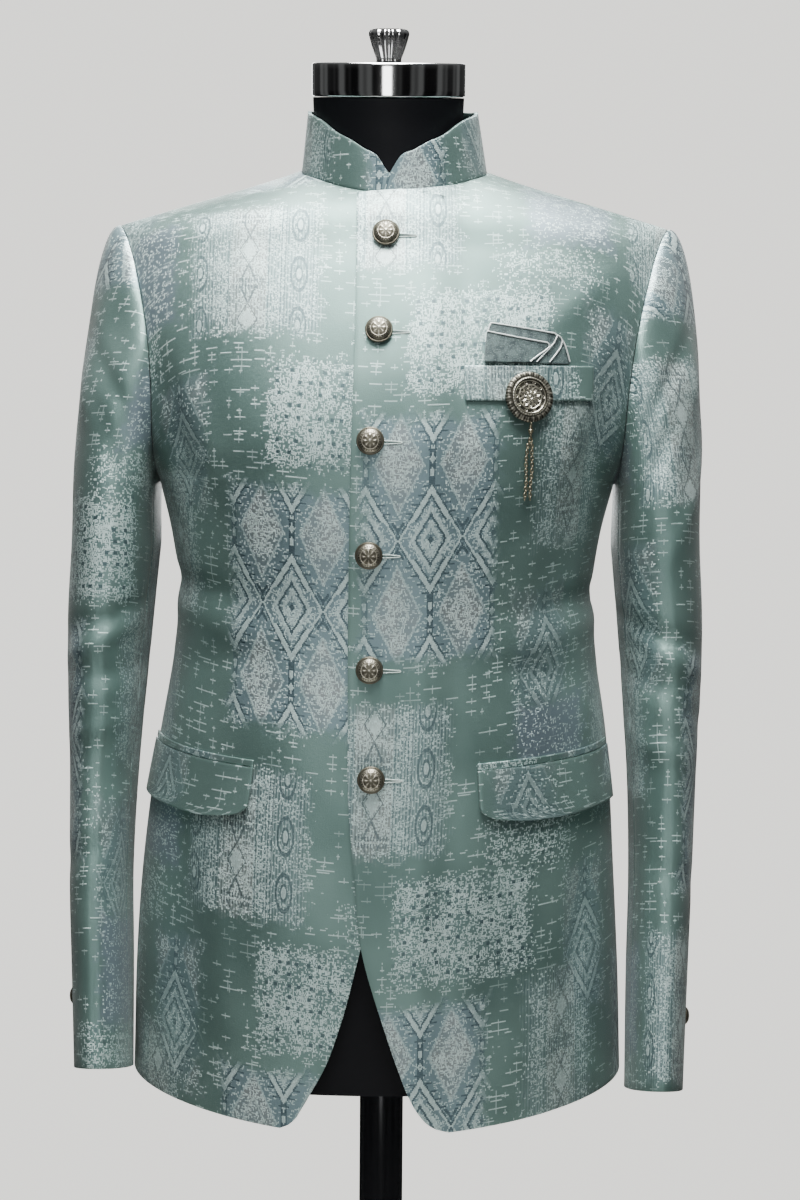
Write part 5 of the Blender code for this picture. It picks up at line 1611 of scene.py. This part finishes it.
def build_brooch(lists):
    centre, normal = on_front(lists, BROOCH_X, BROOCH_Z)
    centre += normal * (WELT_WALL + ON_PANEL + 2 * TOUCH)
    size = BROOCH_RADIUS
    profile = refined([(max(r, 0.004) * size, h * size) for r, h in BROOCH_FACE], size * 0.035)
    shape = Shape()
    shape.turn(profile, centre, normal, 200, lambda r, a: brooch_figure(r / size, a) * size * 0.016)
    spin = Vector((0, 0, 1)).rotation_difference(normal).to_matrix()

    def lay(u, v, h):
        return centre + spin @ Vector((u * size, v * size, h * size))

    def loop(middle, radial, tangential, turn, high, wire, count=22):
        path = []
        for k in range(count):
            a = 2 * math.pi * k / count
            r, t = middle + radial * math.cos(a), tangential * math.sin(a)
            path.append(lay(r * math.cos(turn) - t * math.sin(turn), r * math.sin(turn) + t * math.cos(turn), high))
        shape.tube(path, wire, 7, closed=True, up=normal)

    for k in range(PETALS):
        turn = 2 * math.pi * k / PETALS
        loop(0.305, 0.145, 0.082, turn, 0.165, 0.00042)
        loop(0.305, 0.075, 0.036, turn, 0.150, 0.00030, 16)
        loop(0.565, 0.052, 0.052, turn + math.pi / PETALS, 0.150, 0.00034, 14)
    for radius, wire in ((0.105, 0.00050), (0.475, 0.00048), (0.640, 0.00040)):
        loop(0.0, radius, radius, 0.0, 0.160, wire, 60)
    boss = [(0.075 * size * math.cos(a), (0.13 + 0.07 * math.sin(a)) * size) for a in np.linspace(0, 1.5, 7)]
    shape.turn(boss, centre, normal, 20)
    thing = shape.finish("brooch_detail", MATERIALS["silver"], 50)
    dress(thing, "brooch")
    build_chain(lists, centre, normal)


CHAIN_RING = 0.0022
BEAD_AT = 0.0062
BEAD_RADIUS = 0.0022
LINK_PITCH = 0.00240
LINK_HALF = (0.00185, 0.00122)
LINK_WIRE = 0.00038
STRAND_APART = 0.0022


def build_chain(lists, centre, normal):
    """A bead and two strands of fine links, which hang from a ring at the brooch's foot."""
    joint = frame["record"]["behaviour"]["joints"][0]
    top = Vector(joint["pos_m"])
    low, high = (Vector(v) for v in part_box("brooch_chain"))
    down = (Vector((0, 0, -1)) - normal * normal.dot(Vector((0, 0, -1)))).normalized()
    foot = top + down * CHAIN_LENGTH
    below, below_normal = on_front(lists, foot.x, foot.z)
    foot += normal * (CHAIN_CLEAR - (foot - below).dot(below_normal))
    run = (foot - top).normalized()
    across = normal.cross(run).normalized()
    out = run.cross(across).normalized()
    shape = Shape()

    def link(middle, half_long, half_wide, wire, flat_side, count=14):
        path = []
        for k in range(count):
            a = 2 * math.pi * k / count
            path.append(middle + run * half_long * math.cos(a) + flat_side * half_wide * math.sin(a))
        shape.tube(path, wire, 6, closed=True)

    link(top + run * CHAIN_RING * 0.6, CHAIN_RING, CHAIN_RING * 0.8, 0.00034, out)
    bead = [(BEAD_RADIUS * math.sin(a), -BEAD_RADIUS * math.cos(a)) for a in np.linspace(0.15, math.pi - 0.15, 12)]
    shape.turn(bead, top + run * BEAD_AT, run, 20)
    collar = [(0.0010, -0.0006), (0.0016, -0.0003), (0.0016, 0.0003), (0.0010, 0.0006)]
    for away in (-1.12, 1.12):
        shape.turn(collar, top + run * (BEAD_AT + away * BEAD_RADIUS), run, 14)
    start = BEAD_AT + BEAD_RADIUS * 1.6
    count = int((CHAIN_LENGTH - start - 0.0010) / LINK_PITCH)
    for strand in (-1, 1):
        for k in range(count):
            along = start + LINK_PITCH * (k + 0.5)
            opened = STRAND_APART * smooth(0, 0.010, along - start)
            sway = 0.0004 * math.sin(along * 190 + strand)
            middle = top + run * along + across * (strand * opened + sway)
            side = across if k % 2 else out
            link(middle, LINK_HALF[0], LINK_HALF[1], LINK_WIRE, side)
    thing = shape.finish("brooch_chain_detail", MATERIALS["chain"], 60)
    dress(thing, "brooch_chain", "chain")


# The pocket square as it shows above the welt: four folded edges, each a line from its foot to its top.
# The front fold of the pocket square, and the piped edges of its folds, each a line of x and height.
SQUARE_FOLD_ROWS = (
    (0.0721, 0.0737, 1.4182, 0.0043),
    (0.0800, 0.0850, 1.4160, 0.0043),
    (0.0920, 0.1040, 1.4130, 0.0043),
    (0.1066, 0.1228, 1.4090, 0.0043),
)
SQUARE_FOLD_WALL = 0.0009
PIPING_RADIUS = 0.00062
PIPING_LINES = (
    (0.0034, (0.0737, 1.4175), (0.0768, 1.4250), (0.1004, 1.4218), (0.1262, 1.4180), (0.1312, 1.4152),
     (0.1350, 1.4096), (0.1377, 1.4018), (0.1396, 1.3950)),
    (0.0048, (0.0737, 1.4180), (0.0964, 1.4139), (0.1206, 1.4102), (0.1228, 1.4080), (0.1206, 1.4052),
     (0.1129, 1.3996), (0.1066, 1.3944)),
    (0.0042, (0.1286, 1.4160), (0.1263, 1.4104), (0.1215, 1.4046), (0.1168, 1.3996), (0.1121, 1.3944)),
    (0.0036, (0.1330, 1.4122), (0.1316, 1.4068), (0.1270, 1.4003), (0.1223, 1.3944)),
)


def square_layer(lists, rows, wall, name):
    """One layer of the pocket square, between its foot behind the welt and its top edge."""
    surface = lists["front_left"]
    table = named(POCKET_SQUARE, rows)
    columns = 60
    points, normals, flat = [], [], []
    for i in range(21):
        share = i / 20
        line, normal_line, flat_line = [], [], []
        for k in range(columns + 1):
            at = k / columns * (len(table) - 1)
            j = min(int(at), len(table) - 2)
            t = at - j
            value = {c: table[j][c] * (1 - t) + table[j + 1][c] * t for c in POCKET_SQUARE}
            x = value["foot_x"] + (value["top_x"] - value["foot_x"]) * share
            z = POCKET_SQUARE_FOOT + (value["top_z"] - POCKET_SQUARE_FOOT) * share
            p, n = panel_point(surface, share_across(surface, x, z), z)
            line.append(tuple(p + n * (value["lift"] + ON_PANEL)))
            normal_line.append(tuple(n))
            flat_line.append((x + 0.21, z - 1.30))
        points.append(line)
        normals.append(normal_line)
        flat.append(flat_line)
    panel = Panel(np.array(points), np.array(normals), np.array(flat), 0)
    cloths = (MATERIALS["square"], MATERIALS["square"])
    thing = wall_object(name, leaned(panel.points), panel.normals, panel.flat, wall, cloths, 0.0003)
    return thing, panel


def build_pocket_square(lists):
    """The folded square that stands out of the chest pocket, with piped edges on its four folds."""
    surface = lists["front_left"]
    base, panel = square_layer(lists, POCKET_SQUARE_ROWS, POCKET_SQUARE_WALL, "pocket_square_cloth")
    dress(base, "pocket_square")
    fold, _ = square_layer(lists, SQUARE_FOLD_ROWS, SQUARE_FOLD_WALL, "pocket_square_fold")
    dress(fold, None)
    piping = Shape()
    for lift, *places in PIPING_LINES:
        path = []
        for (x0, z0), (x1, z1) in zip(places, places[1:]):
            parts = max(2, round(math.hypot(x1 - x0, z1 - z0) / 0.0012))
            for k in range(parts):
                x, z = x0 + (x1 - x0) * k / parts, z0 + (z1 - z0) * k / parts
                p, n = panel_point(surface, share_across(surface, x, z), z)
                path.append(p + n * (lift + ON_PANEL) + Vector((lean(p.z), 0, 0)))
        piping.tube(path, PIPING_RADIUS, 8)
    edge = piping.finish("pocket_square_piping", MATERIALS["piping"], 60)
    dress(edge, None)
    declare_sheet(panel.flat)


FORM_STEP = 0.016
FORM_ANGLE_STEP = 5.0
FORM_FINE = 26
NECK_TURNS = 96


def build_form():
    """The torso under the cloth: the jacket's own surface, moved in by the wall and a clearance, and the neck."""
    shares = [FORM_END * k / FORM_FINE for k in range(FORM_FINE + 1)]
    halves = {}
    for side in ("front", "back"):
        heights = steps(FORM_BOTTOM, UNDERARM, FORM_STEP)
        rows = [Row(side, height=h) for h in heights] + [Row(side, angle=a) for a in steps(180, 0, FORM_ANGLE_STEP) + [0.0]]
        for row in rows:
            row.low = False
        grid = np.array([[tuple(row.at(s)) for s in shares] for row in rows])
        normals = np.cross(np.gradient(grid, axis=1), np.gradient(grid, axis=0))
        normals /= np.maximum(np.linalg.norm(normals, axis=2), 1e-12)[..., None]
        if side == "back":
            normals = -normals
        normals[:, 0, 0] = 0.0
        normals[:, 0] /= np.linalg.norm(normals[:, 0], axis=1)[:, None]
        clear = [BODY_WALL + spline(FORM_TABLE, "height", "clear", z) for z in grid[..., 2].ravel()]
        grid = grid - normals * np.array(clear).reshape(grid.shape[:2])[..., None]
        grid[0, :, 2] = FORM_BOTTOM
        halves[side] = grid
    rings = []
    for front, back in zip(halves["front"], halves["back"]):
        a, b = front[-1], back[-1]
        arc = []
        for k in range(1, 7):
            t = k / 7
            p = a * (1 - t) + b * t
            p[0] += FORM_SIDE_BULGE * (b[1] - a[1]) * math.sin(math.pi * t)
            arc.append(p)
        half = np.concatenate((front, arc, back[::-1]))
        other = half[-2:0:-1] * np.array((-1.0, 1.0, 1.0))
        rings.append(np.concatenate((half, other)))
    last = rings[-1]
    count = len(last)
    mates = [(count // 2 - k) % count for k in range(count)]
    ridge = last.copy()
    ridge[:, 1] = (last[:, 1] + last[mates, 1]) / 2
    ridge[:, 2] = (last[:, 2] + last[mates, 2]) / 2 - 0.0006
    rings[-1] = ridge
    points = leaned(np.array(rings)).reshape(-1, 3)
    faces = [tuple(range(count - 1, -1, -1))]
    for i in range(len(rings) - 1):
        for k in range(count):
            a, b = i * count + k, i * count + (k + 1) % count
            faces.append((a, b, b + count, a + count))
    shape = Shape()
    shape.add([Vector(p) for p in points], faces)
    dress(shape.finish("form_torso_skin", MATERIALS["form"], 60), "form_torso")
    neck_points_list, neck_faces = [], []
    levels = np.linspace(NECK_ROWS[0][0], NECK_ROWS[-1][0], 22)
    for level in levels:
        tilt = CAP_TILT * smooth(1.55, CAP_CENTRE.z, level)
        wide, deep, back = (spline(NECK_TABLE, "height", c, level) for c in ("half_width", "half_depth", "y"))
        shift = lean(min(level, 1.56)) * (1 - smooth(1.52, 1.60, level))
        for k in range(NECK_TURNS):
            a = 2 * math.pi * k / NECK_TURNS
            x, y = wide * math.cos(a), deep * math.sin(a)
            neck_points_list.append(Vector((shift + x, back + y * math.cos(tilt), level + y * math.tan(tilt))))
    for i in range(len(levels) - 1):
        for k in range(NECK_TURNS):
            a, b = i * NECK_TURNS + k, i * NECK_TURNS + (k + 1) % NECK_TURNS
            neck_faces.append((a, b, b + NECK_TURNS, a + NECK_TURNS))
    neck_faces.append(tuple(range(NECK_TURNS - 1, -1, -1)))
    neck_faces.append(tuple(range((len(levels) - 1) * NECK_TURNS, len(levels) * NECK_TURNS)))
    shape = Shape()
    shape.add(neck_points_list, neck_faces)
    dress(shape.finish("form_neck_skin", MATERIALS["form"], 60), None)


def stand_piece(node, profile, place, axis, material, turns=96, lobes=0, lobe=0.0, step=0.004):
    shape = Shape()
    shape.turn(refined(profile, step), place, axis, turns, lobes=lobes, lobe=lobe)
    dress(shape.finish(node + "_detail", MATERIALS[material]), node)


def rounded(radius, low, high, edge):
    """A cylinder's profile with rounded edges."""
    arc = [math.pi / 2 * k / 4 for k in range(5)]
    foot = [(radius - edge + edge * math.sin(a), low + edge - edge * math.cos(a)) for a in arc]
    top = [(radius - edge + edge * math.cos(a), high - edge + edge * math.sin(a)) for a in arc]
    return foot + top


def build_stand():
    up = Vector((0, -math.sin(CAP_TILT), math.cos(CAP_TILT)))
    foot = CAP_CENTRE + up * TOUCH
    stand_piece("neck_cap", rounded(CAP_RADIUS, 0, CAP_HEIGHT, 0.0016), foot, up, "chrome", 160)
    knob = (
        (0.0100, 0),
        (0.0098, 0.0016),
        (0.0100, 0.0034),
        (0.0118, 0.0080),
        (0.0136, 0.0135),
        (0.0152, 0.0190),
        (0.0160, 0.0225),
        (0.0157, 0.0245),
        (0.0146, 0.0260),
        (0.0115, 0.0270),
        (0.0040, 0.0271),
    )
    place = foot + up * (CAP_HEIGHT + TOUCH)
    stand_piece("cap_knob", knob, place, up, "chrome", 144, 14, 0.045, 0.0015)
    low = BASE_THICKNESS + FOOT_HEIGHT + 2 * TOUCH
    stand_piece("pole", rounded(POLE_RADIUS, low, FORM_BOTTOM - TOUCH, 0.0004), (0, 0, 0), (0, 0, 1), "pole", step=0.1)
    plate = rounded(BASE_RADIUS, 0, BASE_THICKNESS, 0.0024)
    stand_piece("base_plate", plate, (0, 0, 0), (0, 0, 1), "base", 160)
    shoe = ((0.050, 0), (0.050, 0.002), (0.0485, 0.0035), (0.038, 0.006), (0.030, 0.010), (0.0245, 0.0145), (0.022, 0.020), (0.021, FOOT_HEIGHT))
    stand_piece("pole_foot", shoe, (0, 0, BASE_THICKNESS + TOUCH), (0, 0, 1), "pole")


def add_light(name, place, target, size, power, colour=(1.0, 1.0, 1.0)):
    data = bpy.data.lights.new(name, "AREA")
    data.shape = "RECTANGLE"
    data.size, data.size_y = size
    data.energy = power
    data.color = colour
    light = bpy.data.objects.new(name, data)
    light.location = place
    light.rotation_euler = (Vector(target) - Vector(place)).to_track_quat("-Z", "Y").to_euler()
    bpy.context.scene.collection.objects.link(light)


def build_world():
    """Pale behind the object, and a soft room for the light: bright above, dimmer at the sides and below."""
    world = bpy.data.worlds.new("studio")
    bpy.context.scene.world = world
    world.use_nodes = True
    tree = world.node_tree
    seen = tree.nodes["Background"]
    seen.inputs["Color"].default_value = srgb(222, 221, 216)
    seen.inputs["Strength"].default_value = 2.1
    parts = tree.nodes.new("ShaderNodeSeparateXYZ")
    tree.links.new(tree.nodes.new("ShaderNodeTexCoord").outputs["Generated"], parts.inputs[0])
    rise = Field(tree, parts.outputs[2]).ramp(-0.10, 0.80)
    east, south = Field(tree, parts.outputs[0]), Field(tree, parts.outputs[1]) * -1.0
    turn = east.math("ARCTAN2", south)
    panels = ((turn * 9.0 + 0.7).math("SINE") * 0.5 + (turn * 23.0).math("SINE") * 0.3).ramp(-0.25, 0.60)
    wall = mixed(tree, panels, srgb(38, 38, 40), srgb(176, 178, 178))
    room = tree.nodes.new("ShaderNodeBackground")
    tree.links.new(mixed(tree, rise, wall, srgb(238, 240, 240)), room.inputs["Color"])
    room.inputs["Strength"].default_value = 0.22
    choice = tree.nodes.new("ShaderNodeMixShader")
    tree.links.new(tree.nodes.new("ShaderNodeLightPath").outputs["Is Camera Ray"], choice.inputs[0])
    tree.links.new(room.outputs[0], choice.inputs[1])
    tree.links.new(seen.outputs[0], choice.inputs[2])
    tree.links.new(choice.outputs[0], tree.nodes["World Output"].inputs["Surface"])


def build_studio():
    made = bmesh.new()
    bmesh.ops.create_circle(made, cap_ends=True, segments=160, radius=FLOOR_RADIUS)
    bmesh.ops.translate(made, verts=made.verts, vec=(0.0, 0.0, FLOOR_BELOW))
    mesh = bpy.data.meshes.new("floor")
    made.to_mesh(mesh)
    made.free()
    floor = bpy.data.objects.new("floor", mesh)
    bpy.context.scene.collection.objects.link(floor)
    material, tree, shader = new_material("floor_pale")
    set_shader(shader, Base_Color=srgb(232, 230, 225), Roughness=0.7)
    place = tree.nodes.new("ShaderNodeTexCoord").outputs["Object"]
    parts = tree.nodes.new("ShaderNodeSeparateXYZ")
    tree.links.new(place, parts.inputs[0])
    x, y = Field(tree, parts.outputs[0]), Field(tree, parts.outputs[1])
    away = (x * x + y * y).math("SQRT")
    tree.links.new(away.ramp(FLOOR_FADES, FLOOR_RADIUS, 1.0, 0.0).socket, shader.inputs["Alpha"])
    mesh.materials.append(material)
    build_world()
    add_light("overhead", (0.03, -0.30, 3.0), (0.03, -0.26, 1.35), (0.95, 2.4), 250, (1.0, 0.995, 0.98))
    add_light("key", (-0.6, -2.7, 2.9), (0.0, 0.0, 1.20), (1.2, 0.9), 17, (0.98, 0.99, 1.0))
    add_light("rear", (-0.2, 3.0, 1.9), (0.0, 0.0, 1.15), (1.2, 1.6), 30)
    add_light("fill", (-0.1, -3.1, 0.95), (0.0, 0.0, 1.05), (0.7, 1.3), 19)
    camera = bpy.data.objects.new("camera", bpy.data.cameras.new("camera"))
    camera.data.lens = CAMERA_LENS
    camera.data.sensor_fit = "VERTICAL"
    camera.data.sensor_height = 36.0
    turn = Euler((CAMERA_PITCH, 0, 0)).to_matrix() @ Matrix.Rotation(CAMERA_ROLL, 3, "Z")
    camera.matrix_world = Matrix.Translation(CAMERA_PLACE) @ turn.to_4x4()
    bpy.context.scene.collection.objects.link(camera)
    bpy.context.scene.camera = camera


def main():
    surfaces = build_body()
    lists = {name: as_lists(surfaces[name]) for name in ("front_left", "front_right")}
    sleeves = {side: build_sleeve(side, word) for side, word in ((1, "left"), (-1, "right"))}
    build_collar()
    build_pockets(lists, surfaces)
    build_pocket_square(lists)
    build_buttons(lists, sleeves)
    build_brooch(lists)
    build_form()
    build_stand()
    build_studio()


main()
